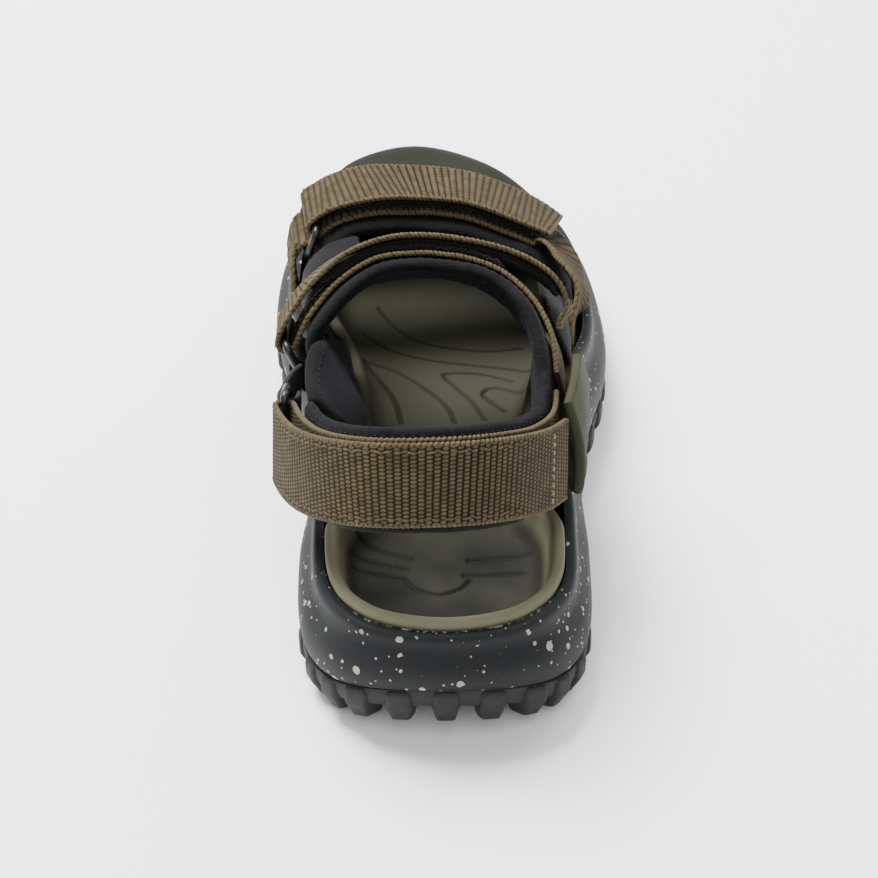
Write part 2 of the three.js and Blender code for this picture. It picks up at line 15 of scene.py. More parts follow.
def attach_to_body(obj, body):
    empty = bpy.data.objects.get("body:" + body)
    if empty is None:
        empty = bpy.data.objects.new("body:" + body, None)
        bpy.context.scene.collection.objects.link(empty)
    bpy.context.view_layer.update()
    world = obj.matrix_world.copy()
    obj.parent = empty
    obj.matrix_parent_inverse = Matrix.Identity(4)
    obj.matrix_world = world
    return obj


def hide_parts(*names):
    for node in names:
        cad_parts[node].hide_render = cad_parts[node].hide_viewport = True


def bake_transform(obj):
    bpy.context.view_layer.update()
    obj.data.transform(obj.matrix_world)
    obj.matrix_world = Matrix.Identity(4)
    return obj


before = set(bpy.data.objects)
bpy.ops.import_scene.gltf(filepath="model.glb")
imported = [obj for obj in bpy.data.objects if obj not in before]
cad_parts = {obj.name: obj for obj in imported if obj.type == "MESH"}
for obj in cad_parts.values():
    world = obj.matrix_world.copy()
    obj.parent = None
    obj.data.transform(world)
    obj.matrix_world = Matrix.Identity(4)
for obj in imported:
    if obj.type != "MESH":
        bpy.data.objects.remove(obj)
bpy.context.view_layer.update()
MM = 0.001
HEEL_OFFSET = np.array([-0.25, -133.8, 0.0])  # from the sandal's frame to the CAD's origin
rng = np.random.default_rng(7)


def to_row(points):
    """Millimetres in the sandal's frame to metres in the CAD's: shift by HEEL_OFFSET, then scale."""
    return (np.asarray(points, float) + HEEL_OFFSET) * MM


# ---- Camera ----

def add_object(name, data):
    """An object at the origin, in the scene."""
    made = bpy.data.objects.new(name, data)
    bpy.context.scene.collection.objects.link(made)
    return made


def aim(obj, target):
    obj.rotation_euler = (Vector(target) - obj.location).to_track_quat("-Z", "Y").to_euler()


def make_camera(azimuth=-0.6, elevation=37.0, distance=1.0, lens=133.5):
    """A long lens behind the heel, looking down from azimuth a and elevation e. It stands at
    target + distance * (sin a cos e, -cos a cos e, sin e)."""
    camera = add_object("camera", bpy.data.cameras.new("camera"))
    target = Vector(to_row([-0.8, 114.5, 25.0]))
    a, e = math.radians(azimuth), math.radians(elevation)
    back = Vector((math.sin(a) * math.cos(e), -math.cos(a) * math.cos(e), math.sin(e)))
    camera.location = target + back * distance
    aim(camera, target)
    camera.data.lens = lens
    camera.data.sensor_width = 36
    bpy.context.scene.camera = camera


make_camera()

# ---- Driving dimensions ----

SOLE_LENGTH = 267.5
WEBBING_WIDTH, WEBBING_THICK = 24.0, 1.8
RIB_PITCH, YARN_PITCH, LOOP_PITCH = 2.1, 1.15, 1.5
TAPE_WIDTH, TAPE_THICK = 20.0, 1.1
TAPE_TOP = -WEBBING_THICK / 2 - 0.45  # the height of the tape's sewn face above the webbing's middle
ANCHOR_REACH = 11
GAP = 0.3
TREAD_DEPTH, OUTSOLE_THICK = 4.5, 8.0
WALL_INSET, SLOT_WIDTH, RIM_THICK = 7.8, 6.3, 4.2
RING_WIRE, RING_LENGTH, RING_PITCH = 1.25, 28.0, 9.0
TURN_SPACING, ANCHOR_SPACING, TURN_STEPS = 5.3, 5.4, 6
LUGS_PER_SIDE = 21
TREAD_BARS, FIRST_BAR, BAR_PITCH, BAR_HALF_WIDTHS = 13, 27, 17.3, (21.0, 15.0)
PADDING = 4.0


def smooth(low, high, v):
    """0 below low, 1 above high, 3u^2 - 2u^3 between them."""
    u = np.clip((np.asarray(v, float) - low) / (high - low), 0, 1)
    return u * u * (3 - 2 * u)


def mix(a, b, t):
    return a + (b - a) * t


def unit(v):
    return v / np.maximum(np.linalg.norm(v, axis=-1, keepdims=True), 1e-9)


# ---- Curves ----

def spline(points, t, closed=False):
    """Centripetal Catmull-Rom curve: t counts points from 0. Each span is the cubic whose end tangents come
    from its neighbours, weighted by the square roots of the chord lengths."""
    p = np.asarray(points, float)
    n = len(p)
    t = np.atleast_1d(np.asarray(t, float))
    if closed:
        span = np.floor(t).astype(int)
        a, b, c, d = (p[(span + k) % n] for k in (-1, 0, 1, 2))
    else:
        t = np.clip(t, 0, n - 1)
        span = np.minimum(np.floor(t).astype(int), n - 2)
        padded = np.concatenate([[2 * p[0] - p[1]], p, [2 * p[-1] - p[-2]]])
        a, b, c, d = (padded[span + k] for k in range(4))
    w = (t - span)[:, None]
    ab, bc, cd = (np.sqrt(np.linalg.norm(v - u, axis=1, keepdims=True)) for u, v in ((a, b), (b, c), (c, d)))
    bc = np.where(bc < 1e-4, 1.0, bc)
    ab, cd = (np.where(k < 1e-4, bc, k) for k in (ab, cd))
    start = ((b - a) / ab - (c - a) / (ab + bc) + (c - b) / bc) * bc
    end = ((c - b) / bc - (d - b) / (bc + cd) + (d - c) / cd) * bc
    return b + w * (start + w * (3 * (c - b) - 2 * start - end + w * (2 * (b - c) + start + end)))


def stacked_spline(points, count):
    """A uniform Catmull-Rom curve along the first axis of an array of any shape, sampled count times."""
    p = np.asarray(points, float)
    padded = np.concatenate([[2 * p[0] - p[1]], p, [2 * p[-1] - p[-2]]])
    t = np.linspace(0, len(p) - 1, count)
    span = np.minimum(t.astype(int), len(p) - 2)
    w = (t - span).reshape((-1,) + (1,) * (p.ndim - 1))
    a, b, c, d = (padded[span + k] for k in range(4))
    cubic = 2 * b + w * (c - a + w * (2 * a - 5 * b + 4 * c - d + w * (3 * b - a - 3 * c + d)))
    return cubic / 2


# ---- Meshes ----

def grid_faces(rows, columns, around=False, along=False, caps=False):
    """Quads over a rows x columns grid. around joins the last column to the first, along the last row to the
    first, and caps closes the first and last row with strips between point i and its opposite."""
    index = np.arange(rows * columns).reshape(rows, columns)
    if around:
        index = np.concatenate([index, index[:, :1]], 1)
    if along:
        index = np.concatenate([index, index[:1]], 0)
    faces = [np.stack([index[:-1, :-1], index[:-1, 1:], index[1:, 1:], index[1:, :-1]], -1).reshape(-1, 4)]
    if caps:
        i = np.arange(columns // 2 - 1)
        strip = np.stack([i, i + 1, columns - 2 - i, columns - 1 - i], -1)
        faces += [strip[:, ::-1], strip + (rows - 1) * columns]
    return np.concatenate(faces)


def make_piece(name, points, faces, material, attributes=None, sharp=None, tidy=False):
    """A mesh object at the origin from points in the sandal's frame. attributes are named arrays of vectors,
    one for each point. tidy merges doubles and makes the faces point outwards."""
    mesh = bpy.data.meshes.new(name)
    mesh.from_pydata(to_row(points).tolist(), [], faces.tolist())
    for key, values in (attributes or {}).items():
        mesh.attributes.new(key, "FLOAT_VECTOR", "POINT").data.foreach_set("vector", np.ravel(values))
    piece = add_object(name, mesh)
    clean_normals(mesh, 1e-7 if tidy else 0)
    mesh.polygons.foreach_set("use_smooth", np.ones(len(mesh.polygons), bool))
    if sharp:
        mesh.set_sharp_from_angle(angle=math.radians(sharp))
    mesh.materials.append(material)
    return piece


def clean_normals(mesh, merge):
    """Merges points closer than merge, drops faces with no area and turns the faces outwards."""
    bm = bmesh.new()
    bm.from_mesh(mesh)
    if merge:
        bmesh.ops.remove_doubles(bm, verts=bm.verts, dist=merge)
        bmesh.ops.dissolve_degenerate(bm, edges=bm.edges, dist=merge)
    bmesh.ops.recalc_face_normals(bm, faces=bm.faces)
    bm.to_mesh(mesh)
    bm.free()


def grid_normals(grid):
    """Unit normals of a grid of points: the cross product of its two central differences."""
    return unit(np.cross(np.gradient(grid, axis=0), np.gradient(grid, axis=1)))


def skin(rings):
    """Points and faces of a stack of closed rings, with the first and the last ring capped."""
    return rings.reshape(-1, 3), grid_faces(*rings.shape[:2], around=True, caps=True)


def repeat_shape(points, faces, centres, axes):
    """Copies of one small shape: copy k has its x, y, z along axes[k] and its origin at centres[k]."""
    placed = centres[:, None, :] + np.einsum("pi,kij->kpj", points, axes)
    shifted = faces[None] + (np.arange(len(centres)) * len(points))[:, None, None]
    return placed.reshape(-1, 3), shifted.reshape(-1, faces.shape[1])


# ---- Materials ----

class Value:
    """A socket in a material's node tree. Arithmetic on values adds Math nodes."""

    def __init__(self, paint, socket):
        self.paint, self.socket = paint, socket

    def math(self, operation, *others):
        return self.paint.node("ShaderNodeMath", {"operation": operation}, [self, *others])

    def __add__(self, other):
        return self.math("ADD", other)

    def __sub__(self, other):
        return self.math("SUBTRACT", other)

    def __mul__(self, other):
        return self.math("MULTIPLY", other)

    def __rsub__(self, other):
        return self.paint.node("ShaderNodeMath", {"operation": "SUBTRACT"}, [other, self])

    __radd__, __rmul__ = __add__, __mul__

    def step(self, low, high, to_low=0.0, to_high=1.0):
        """Eased from to_low at low to to_high at high."""
        settings = {"interpolation_type": "SMOOTHSTEP"}
        return self.paint.node("ShaderNodeMapRange", settings, [self, low, high, to_low, to_high])


class Paint:
    """One material: a Principled shader with constants set on it, and methods that add nodes."""

    def __init__(self, name, **constants):
        self.material = bpy.data.materials.new(name)
        self.material.use_nodes = True
        self.tree = self.material.node_tree
        self.shader = self.tree.nodes["Principled BSDF"]
        for key, value in constants.items():
            self.shader.inputs[key.replace("_", " ")].default_value = value

    def node(self, kind, settings=None, inputs=(), output=0):
        """Adds a node: its settings first, then its sockets by number or name. Returns one output."""
        made = self.tree.nodes.new(kind)
        for key, value in (settings or {}).items():
            setattr(made, key, value)
        for key, value in (inputs.items() if isinstance(inputs, dict) else enumerate(inputs)):
            self.feed(made.inputs[key], value)
        return Value(self, made.outputs[output])

    def feed(self, socket, value):
        if isinstance(value, Value):
            self.tree.links.new(value.socket, socket)
        else:
            colour = isinstance(value, tuple) and len(value) == 3 and socket.type == "RGBA"
            socket.default_value = (*value, 1.0) if colour else value

    def place(self):
        return self.node("ShaderNodeTexCoord", output="Object")

    def attribute(self, name):
        return self.node("ShaderNodeAttribute", {"attribute_name": name}, output="Vector")

    def split(self, vector):
        return [self.node("ShaderNodeSeparateXYZ", inputs=[vector], output=i) for i in range(3)]

    def noise(self, where, size_mm, detail=3.0, roughness=0.5):
        """Fractal noise, 0 to 1, with features about size_mm across."""
        inputs = {"Vector": where, "Scale": 1 / (size_mm * MM), "Detail": detail, "Roughness": roughness}
        return self.node("ShaderNodeTexNoise", inputs=inputs)

    def cells(self, where, size_mm, randomness=1.0, output="Distance"):
        """Distance to the nearest of scattered points, in cells size_mm across, or the cell's own colour."""
        inputs = {"Vector": where, "Scale": 1 / (size_mm * MM), "Randomness": randomness}
        return self.node("ShaderNodeTexVoronoi", inputs=inputs, output=output)

    def blend(self, factor, a, b):
        return self.node("ShaderNodeMix", {"data_type": "RGBA"}, {0: factor, 6: a, 7: b}, 2)

    def finish(self, colour=None, roughness=None, height=None, bump_mm=0.1, coat=None):
        """Feeds what changes over the surface: colour, roughness, coat, and height through a Bump node."""
        for key, value in (("Base Color", colour), ("Roughness", roughness), ("Coat Weight", coat)):
            if value is not None:
                self.feed(self.shader.inputs[key], value)
        if height is not None:
            inputs = {"Strength": 1.0, "Distance": bump_mm * MM, "Height": height}
            self.feed(self.shader.inputs["Normal"], self.node("ShaderNodeBump", inputs=inputs))
        return self.material


def tone(red, green, blue):
    """A display colour, 0 to 255, as linear light."""
    c = np.array([red, green, blue]) / 255
    return tuple(float(v) for v in np.where(c < 0.04045, c / 12.92, ((c + 0.055) / 1.055) ** 2.4))


def webbing_material():
    """Olive polyester webbing: yarn colours differ a little, the gaps between yarns get painted shade, fibres
    are fine.
    """
    paint = Paint("webbing_olive", Sheen_Weight=0.02, Sheen_Roughness=0.5, Specular_IOR_Level=0.08)
    where = paint.attribute("weave")
    height = paint.split(paint.attribute("relief"))[0]
    yarn = paint.noise(where, 3.0, 2.0)
    fibre = paint.node("ShaderNodeTexWave", {"wave_type": "BANDS", "bands_direction": "Y"},
                       {"Vector": where, "Scale": 1100.0, "Distortion": 3.0, "Detail": 2.0})
    place = paint.place()
    patch = paint.noise(place, 14.0, 3.0)
    light = paint.blend(patch.step(0.3, 0.75), tone(78, 69, 50), tone(88, 78, 58))
    yarns = paint.blend(yarn.step(0.35, 0.7), light, tone(70, 60, 41))
    # painted shade: where the weave's relief is low, between the yarns, the colour goes near black
    deep = height.step(0.1, 0.8)
    colour = paint.blend(deep, tone(17, 14, 9), yarns)
    return paint.finish(colour, 0.92 - 0.12 * deep, fibre * 0.5 + paint.noise(place, 0.35, 2.0), 0.10)


def thread_material(name, colour, dark):
    paint = Paint(name, Sheen_Weight=0.03, Specular_IOR_Level=0.15)
    place = paint.place()
    twist = paint.noise(place, 0.5, 2.0)
    return paint.finish(paint.blend(twist.step(0.3, 0.7), dark, colour), 0.75, twist, 0.08)


def neoprene_material():
    """Black knit-faced neoprene: fine knit cells, a faint violet sheen and lint."""
    paint = Paint("neoprene_black", Sheen_Weight=0.1, Sheen_Roughness=0.4, Specular_IOR_Level=0.12)
    paint.shader.inputs["Sheen Tint"].default_value = (*tone(120, 116, 128), 1.0)
    place = paint.place()
    knit = paint.cells(place, 0.7, 0.35)
    pile = paint.noise(place, 0.5, 3.0, 0.7)
    tint = paint.noise(place, 9.0, 3.0)
    base = paint.blend(tint.step(0.3, 0.75), tone(11, 11, 12), tone(18, 17, 19))
    lint = pile.step(0.72, 0.82)
    colour = paint.blend(lint * 0.35, base, tone(44, 43, 46))
    return paint.finish(colour, 0.88 + 0.08 * knit, knit.step(0.1, 0.6) * 0.7 + pile * 0.6, 0.16)


def foam_material():
    """Slate moulded foam with flecks of pale paint in three sizes and a soft skin texture."""
    paint = Paint("midsole_foam", Specular_IOR_Level=0.22)
    place = paint.place()
    skin = paint.noise(place, 1.2, 3.0)
    dust = paint.noise(place, 16.0, 4.0)
    base = paint.blend(dust.step(0.3, 0.75), tone(14, 16, 18), tone(21, 23, 26))
    warp = paint.node("ShaderNodeVectorMath", {"operation": "MULTIPLY_ADD"},
                      [paint.noise(place, 2.5, 2.0), (0.0009, 0.0009, 0.0009), place])
    flecks = None
    for size, radius, share in ((6.0, 0.2, 0.5), (3.6, 0.2, 0.5), (1.9, 0.2, 0.42)):
        cell = paint.split(paint.cells(warp, size, output="Color"))
        reach = cell[1] * radius + radius * 0.25
        spot = (reach - paint.cells(warp, size)).step(0.0, 0.02) * cell[0].step(1 - share, 1 - share + 0.02)
        flecks = spot if flecks is None else flecks.math("MAXIMUM", spot)
    pale = paint.blend(paint.noise(place, 6.0).step(0.4, 0.6), tone(128, 130, 122), tone(150, 146, 122))
    seam = paint.split(paint.attribute("paint"))[0] * paint.noise(place, 1.6, 3.0).step(0.5, 0.6)
    flecks = flecks.math("MAXIMUM", seam)
    colour = paint.blend(flecks, base, pale)
    return paint.finish(colour, 0.62 + 0.12 * dust - 0.1 * flecks, skin * 0.5 + flecks * 0.8, 0.09)


def rubber_material():
    paint = Paint("outsole_rubber", Specular_IOR_Level=0.3)
    place = paint.place()
    dust = paint.noise(place, 7.0, 5.0, 0.6)
    grain = paint.noise(place, 0.8, 3.0)
    colour = paint.blend(dust.step(0.42, 0.8), tone(16, 17, 19), tone(30, 32, 33))
    return paint.finish(colour, 0.6 + 0.2 * dust, grain, 0.06)


def moulded_material(name, colour, worn, roughness, bump, shine=0.2, paints_footbed_shade=False):
    """Moulded olive foam or plastic: faint mottling and fine grain. On the footbed, light and shade are
    painted
    in: a painted highlight on the heel's rim, painted shade on the tread, a painted shadow of the heel strap
    on the tread under the heel, and painted shade in the grooves."""
    paint = Paint(name, Specular_IOR_Level=shine)
    place = paint.place()
    mottle = paint.noise(place, 22.0, 4.0)
    grain = paint.noise(place, 0.55, 3.0, 0.6)
    mixed = paint.blend(mottle.step(0.3, 0.75), colour, worn)
    if paints_footbed_shade:
        groove, tread, heel = paint.split(paint.attribute("groove"))
        # painted highlight: the heel's rim is painted pale, as if lit
        rim = paint.blend(heel, mixed, tone(97, 96, 77))
        # painted shade on the tread, darkest under the heel as the heel strap's painted shadow
        painted_tread_shade = paint.blend(heel, tone(45, 45, 35), tone(15, 15, 12))
        mixed = paint.blend(tread * (0.8 + 0.3 * mottle), rim, painted_tread_shade)
        # painted shade in the grooves
        mixed = paint.blend(groove.step(0.1, 0.8) * 0.6, mixed, tone(14, 14, 10))
    return paint.finish(mixed, roughness + 0.14 * mottle + 0.06 * grain, grain, bump)


def pile_material():
    paint = Paint("tape_pile", Sheen_Weight=0.08, Specular_IOR_Level=0.12)
    fuzz = paint.noise(paint.place(), 0.6, 3.0, 0.8)
    colour = paint.blend(fuzz.step(0.45, 0.8), tone(10, 9, 8), tone(36, 34, 25))
    return paint.finish(colour, 0.9, fuzz, 0.4)


def wire_material():
    """Black coated wire, glossy, with small worn spots that show grey."""
    paint = Paint("ring_wire", Coat_Roughness=0.2, Specular_IOR_Level=0.3)
    place = paint.place()
    wear = paint.noise(place, 1.6, 4.0).step(0.62, 0.7)
    colour = paint.blend(wear, tone(9, 10, 11), tone(58, 61, 64))
    return paint.finish(colour, 0.42 + 0.15 * wear, paint.noise(place, 0.8), 0.03, coat=0.12 - 0.1 * wear)


def tab_material():
    """Black nylon tape with a fine rib."""
    paint = Paint("tab_nylon", Sheen_Weight=0.05, Specular_IOR_Level=0.25)
    place = paint.place()
    rib = paint.cells(place, 0.9, 0.5)
    colour = paint.blend(paint.noise(place, 5.0).step(0.35, 0.7), tone(14, 15, 17), tone(26, 27, 30))
    return paint.finish(colour, 0.7 + 0.1 * rib, rib, 0.15)


MATERIALS = {
    "webbing": webbing_material(),
    "thread": thread_material("thread_olive", tone(84, 74, 54), tone(44, 37, 24)),
    "pale_thread": thread_material("thread_pale", tone(150, 140, 114), tone(84, 74, 54)),
    "dark_thread": thread_material("thread_black", tone(20, 20, 22), tone(9, 9, 10)),
    "lining": neoprene_material(),
    "foam": foam_material(),
    "rubber": rubber_material(),
    "footbed": moulded_material("footbed_foam", tone(50, 50, 37), tone(56, 55, 42), 0.62, 0.07, 0.1, True),
    "moulded": moulded_material("olive_moulding", tone(47, 48, 35), tone(54, 55, 42), 0.66, 0.04, 0.07),
    "cap": moulded_material("toe_cap_moulding", tone(23, 25, 17), tone(28, 30, 21), 0.7, 0.05, 0.1),
    "tape": pile_material(),
    "ring": wire_material(),
    "nylon": tab_material(),
}

# ---- Forms ----

def slab(middle, thick, edge, relief=0.0):
    """A sheet with thickness: the grid moved half of thick along its normals to both sides. Within edge mm of
    its border the thickness follows a quarter ellipse down to nothing. Returns points, faces and the distance
    of each point from the border."""
    rows = np.cumsum(np.linalg.norm(np.diff(middle, axis=0, prepend=middle[:1]), axis=-1), 0)
    columns = np.cumsum(np.linalg.norm(np.diff(middle, axis=1, prepend=middle[:, :1]), axis=-1), 1)
    distance = np.minimum(np.minimum(rows, rows[-1:] - rows), np.minimum(columns, columns[:, -1:] - columns))
    swell = np.sqrt(1 - (1 - np.minimum(distance / edge, 1)) ** 2)
    half = (grid_normals(middle) * (thick / 2 * swell)[..., None])
    near, far = middle + half * (1 + np.asarray(relief)[..., None]), middle - half
    border = np.concatenate([distance, distance[:, ::-1]], 1)
    return *skin(np.concatenate([near, far[:, ::-1]], 1)), border.ravel()


def ease_ends(count, amount=0.6):
    """count + 1 values from 0 to 1, closer together towards both ends."""
    t = np.linspace(0, 1, count + 1)
    return mix(t, 0.5 - 0.5 * np.cos(np.pi * t), amount)


def net_grid(net, across, along):
    """A smooth sheet through columns of points: curves up the columns, then curves across them."""
    t, u = ease_ends(along), ease_ends(across) * (len(net) - 1)
    columns = np.stack([spline(column, t * (len(column) - 1)) for column in net], 1)
    return np.stack([spline(row, u) for row in columns])


def tube(path, radius, sides=14, closed=False, up=(0, 0, 1)):
    """A round tube: circles of that radius set square to the path. radius is one number or one for each
    point."""
    path = np.asarray(path, float)
    if closed:
        along = unit(np.roll(path, -1, 0) - np.roll(path, 1, 0))
    else:
        along = unit(np.gradient(path, axis=0))
    first = unit(np.cross(along, np.asarray(up, float)))
    second = np.cross(along, first)
    angle = np.arange(sides) * 2 * np.pi / sides
    radius = np.broadcast_to(np.asarray(radius, float), len(path))[:, None, None]
    ring = first[:, None] * np.cos(angle)[None, :, None] + second[:, None] * np.sin(angle)[None, :, None]
    points = path[:, None] + ring * radius
    return points.reshape(-1, 3), grid_faces(len(path), sides, around=True, along=closed, caps=not closed)


STITCH_RING = np.array([[math.cos(a), math.sin(a)] for a in np.arange(6) * math.pi / 3])


def stitch_shape(length=2.3, width=0.62, height=0.5):
    """One stitch along x: a six-sided thread that dips at both ends."""
    along = np.array([-0.5, -0.32, 0, 0.32, 0.5]) * length
    size = np.array([0.35, 0.9, 1, 0.9, 0.35])
    dip = np.array([-0.9, -0.1, 0.12, -0.1, -0.9]) * height
    ring = STITCH_RING * [width / 2, height / 2]
    return skin(np.stack([np.stack([np.full(6, a), ring[:, 0] * k, ring[:, 1] * k + d], 1)
                          for a, k, d in zip(along, size, dip)]))


def lengths_along(path):
    """The length of a path up to each of its points."""
    return np.concatenate([[0], np.cumsum(np.linalg.norm(np.diff(path, axis=0), axis=1))])


def read_along(at, arc, values):
    """Each column of values, which are known at the lengths arc, read at the lengths at."""
    return np.stack([np.interp(at, arc, column) for column in values.T], 1)


def stitches(name, path, outward, material, body, length=2.3, gap=0.75, size=0.62):
    """A row of stitches along a path, in equal steps of length + gap. outward holds the normals there."""
    arc = lengths_along(path)
    count = max(int(arc[-1] / (length + gap)), 1)
    at = (np.arange(count) + 0.5) * arc[-1] / count
    centres = read_along(at, arc, path)
    normal = unit(read_along(at, arc, outward))
    ahead = read_along(at + 0.2, arc, path) - read_along(at - 0.2, arc, path)
    x = unit(ahead - normal * np.sum(ahead * normal, 1, keepdims=True))
    axes = np.stack([x, np.cross(normal, x), normal], 1)
    points, faces = repeat_shape(*stitch_shape(length, size, size * 0.8), centres, axes)
    piece = make_piece(name, points, faces, material)
    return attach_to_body(piece, body)


def attach(piece, body, slot, *nodes):
    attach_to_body(piece, body)
    if nodes:
        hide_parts(*nodes)
    return piece


# ---- The sole's plan and heights ----

MEDIAL = [[0, 0], [-27, 7.5], [-40, 28], [-42.5, 60], [-39, 95], [-42, 130], [-49.5, 163], [-53, 193],
          [-49, 226], [-36, 253]]
LATERAL = [[0, 0], [27, 7.5], [40.5, 28], [43, 60], [42, 95], [46.5, 130], [52.5, 158], [53, 187],
           [46, 224], [26, 253]]
TOE = [-6, SOLE_LENGTH]
OUTLINE = np.array([[x, y, 0.0] for x, y in MEDIAL + [TOE] + LATERAL[:0:-1]])


def outline_at(u):
    """Points, inward normals and tangents of the closed outline; u runs 0 to 1 up the inside of the foot,
    over the toe and back down the outside."""
    t = np.mod(np.atleast_1d(u), 1.0) * len(OUTLINE)
    point = spline(OUTLINE, t, closed=True)
    ahead = spline(OUTLINE, np.mod(t + 2e-3, len(OUTLINE)), closed=True)
    behind = spline(OUTLINE, np.mod(t - 2e-3, len(OUTLINE)), closed=True)
    along = unit(ahead - behind)
    return point, np.stack([along[:, 1], -along[:, 0], 0 * along[:, 0]], 1), along


def plan_point(side, station, inset):
    """A point on the outline moved inwards by inset. side is -1 inside or 1 outside; station runs from 0 at
    the heel to 1 at the toe."""
    station = np.asarray(station, float)
    point, inward, _ = outline_at(station / 2 if side < 0 else 1 - station / 2)
    return point + inward * np.reshape(inset, (-1, 1))


def ground_at(y):
    """The toe and the back of the heel lift off the ground, as squares of the distance past 188 and
    before 34."""
    return 11 * np.maximum(0, (34 - y) / 34) ** 2 + 13 * np.maximum(0, (y - 188) / 80) ** 2


def wall_top_at(y):
    heel = 38 - 2 * smooth(8, 26, y) + 5 * smooth(30, 95, y)
    return mix(heel, 30, smooth(110, 190, y)) + 0.6 * np.where(y > 100, ground_at(y), 0)


def floor_at(y):
    return mix(27, 20, smooth(60, 190, y)) + np.where(y > 100, 0.8, 0.3) * ground_at(y)


def slot_at(y):
    return mix(GAP, SLOT_WIDTH, smooth(52, 68, y))


def slot_point(side, y, depth, z):
    """A point depth inside the wall's top edge, where the outline reaches y."""
    station = np.linspace(0.02, 0.98, 2000)
    station = np.interp(y, plan_point(side, station, 0)[:, 1], station)
    point = plan_point(side, station, WALL_INSET + depth)[0]
    return [point[0], point[1], z]


def sole_shell(profile, count=400, steps=None):
    """Rings round the sole. profile(y) gives (inset, height) pairs from the first ring to the last; with
    steps, a smooth curve through them is sampled that many times."""
    u = (np.arange(count) + 0.5) / count
    point, inward, _ = outline_at(u)
    pairs = np.array([[np.broadcast_to(v, count) for v in pair] for pair in profile(point[:, 1])], float)
    if steps:
        pairs = stacked_spline(pairs, steps)
    rings = point + inward * pairs[:, 0, :, None]
    rings[..., 2] = pairs[:, 1]
    return rings


# ---- Sole unit ----

def lug_block():
    """One lug in (along, inset, height): rounded rectangles stacked from a narrow foot to a shoulder, then a
    thin pad up the side wall. The rectangle's corners follow |x|^n + |y|^n = 1 with n = 5."""
    levels = [(0.0, 2.2, 3.4, 10.2), (0.25, 2.7, 2.6, 10.9), (1.2, 3.0, 2.2, 11), (3.0, 3.4, 1.1, 11),
              (4.8, 3.8, 0.1, 11), (5.6, 4.0, -0.2, 11), (7.6, 4.0, -0.3, 11), (9.2, 3.9, -0.3, 5),
              (10.4, 3.7, -0.1, 4), (11.2, 3.4, 0.4, 4), (11.6, 2.9, 1.1, 4)]
    angle = (np.arange(28) + 0.5) * 2 * np.pi / 28
    x, y = (np.sign(v) * np.abs(v) ** 0.4 for v in (np.cos(angle), np.sin(angle)))
    rings = [np.stack([x * half, mix(outer, inner, (y + 1) / 2), np.full(28, z)], 1)
             for z, half, outer, inner in levels]
    return skin(np.stack(rings))


def build_outsole():
    """The base with its low side wall, the lugs round its edge and two lengths of bars down its middle."""
    base = [(6, TREAD_DEPTH), (2.6, TREAD_DEPTH), (1.7, 5.0), (0.9, 7.2), (0.5, 10.4), (0.8, 11.3),
            (1.3, 11.5), (2.1, 11.2), (2.1, OUTSOLE_THICK - GAP), (6, OUTSOLE_THICK - GAP)]

    def profile(y):
        return [(inset, ground_at(y) + z) for inset, z in base]

    parts = [skin(sole_shell(profile))]
    count = 2 * LUGS_PER_SIDE
    point, inward, along = outline_at(np.arange(count) / count)
    up = np.broadcast_to([0.0, 0.0, 1.0], point.shape)
    lugs, faces = repeat_shape(*lug_block(), point, np.stack([along, inward, up], 1))
    lugs[:, 2] += ground_at(lugs[:, 1])
    parts.append((lugs, faces))
    for i in range(TREAD_BARS):
        half = BAR_HALF_WIDTHS[i % 2]
        path = np.linspace([-half, 0, 0], [half, 0, 0], 12)
        bar, faces = tube(path, 3.4, 16, up=(0, 0, 1))
        bar = np.sign(bar) * np.minimum(np.abs(bar), [half, 3.2, 2.2])
        y = FIRST_BAR + i * BAR_PITCH
        parts.append((bar + [0, y, TREAD_DEPTH / 2 + 0.4 + ground_at(y)], faces))
    starts = np.cumsum([0] + [len(p) for p, _ in parts])
    points = np.concatenate([p for p, _ in parts])
    faces = np.concatenate([f + start for (_, f), start in zip(parts, starts)])
    piece = make_piece("outsole_lugged", points, faces, MATERIALS["rubber"], sharp=38)
    attach(piece, "sandal", "rubber", "outsole")


SEAM_PLACE, SEAM_SPREAD = 16.6, 0.45  # where the midsole's line of paint lies, in points of its profile


def build_midsole():
    """The wall: a parting groove low down, a belly, then a concave ledge under the top edge. A line of paint,
    exp(-(distance / SEAM_SPREAD)^2) strong, runs round the heel's top edge."""
    wall = [(0, 2.3), (0.05, 2.3), (0.1, 2.2), (0.15, 1.3), (0.2, 0.5), (0.32, -0.1), (0.45, 0.0),
            (0.56, 0.8), (0.66, 2.3), (0.75, 3.7), (0.84, 4.3), (0.92, 4.4), (0.97, 4.8), (1, 5.7)]

    def profile(y):
        low, top = ground_at(y) + OUTSOLE_THICK, wall_top_at(y)
        pairs = [(6, low), (3, low)] + [(inset, mix(low, top, share)) for share, inset in wall]
        return pairs + [(WALL_INSET - 0.4, top), (WALL_INSET, top - 1), (WALL_INSET, floor_at(y) - 5.9)]

    rings = sole_shell(profile, 480, 90)
    place = np.linspace(0, len(wall) + 4, len(rings))[:, None]
    paint = np.exp(-((place - SEAM_PLACE) / SEAM_SPREAD) ** 2) * (1 - smooth(8, 30, rings[..., 1]))
    paint = np.stack([paint, 0 * paint, 0 * paint], -1)
    piece = make_piece("midsole_bowl", *skin(rings), MATERIALS["foam"], {"paint": paint}, sharp=50)
    attach(piece, "sandal", "foam", "midsole")

    def board_profile(y):
        return [(WALL_INSET + 0.4, floor_at(y) - depth) for depth in (5.7, 4.3)]

    board = make_piece("insole_board_stiff", *skin(sole_shell(board_profile)), MATERIALS["tape"], sharp=30)
    attach(board, "sandal", "board", "insole_board")


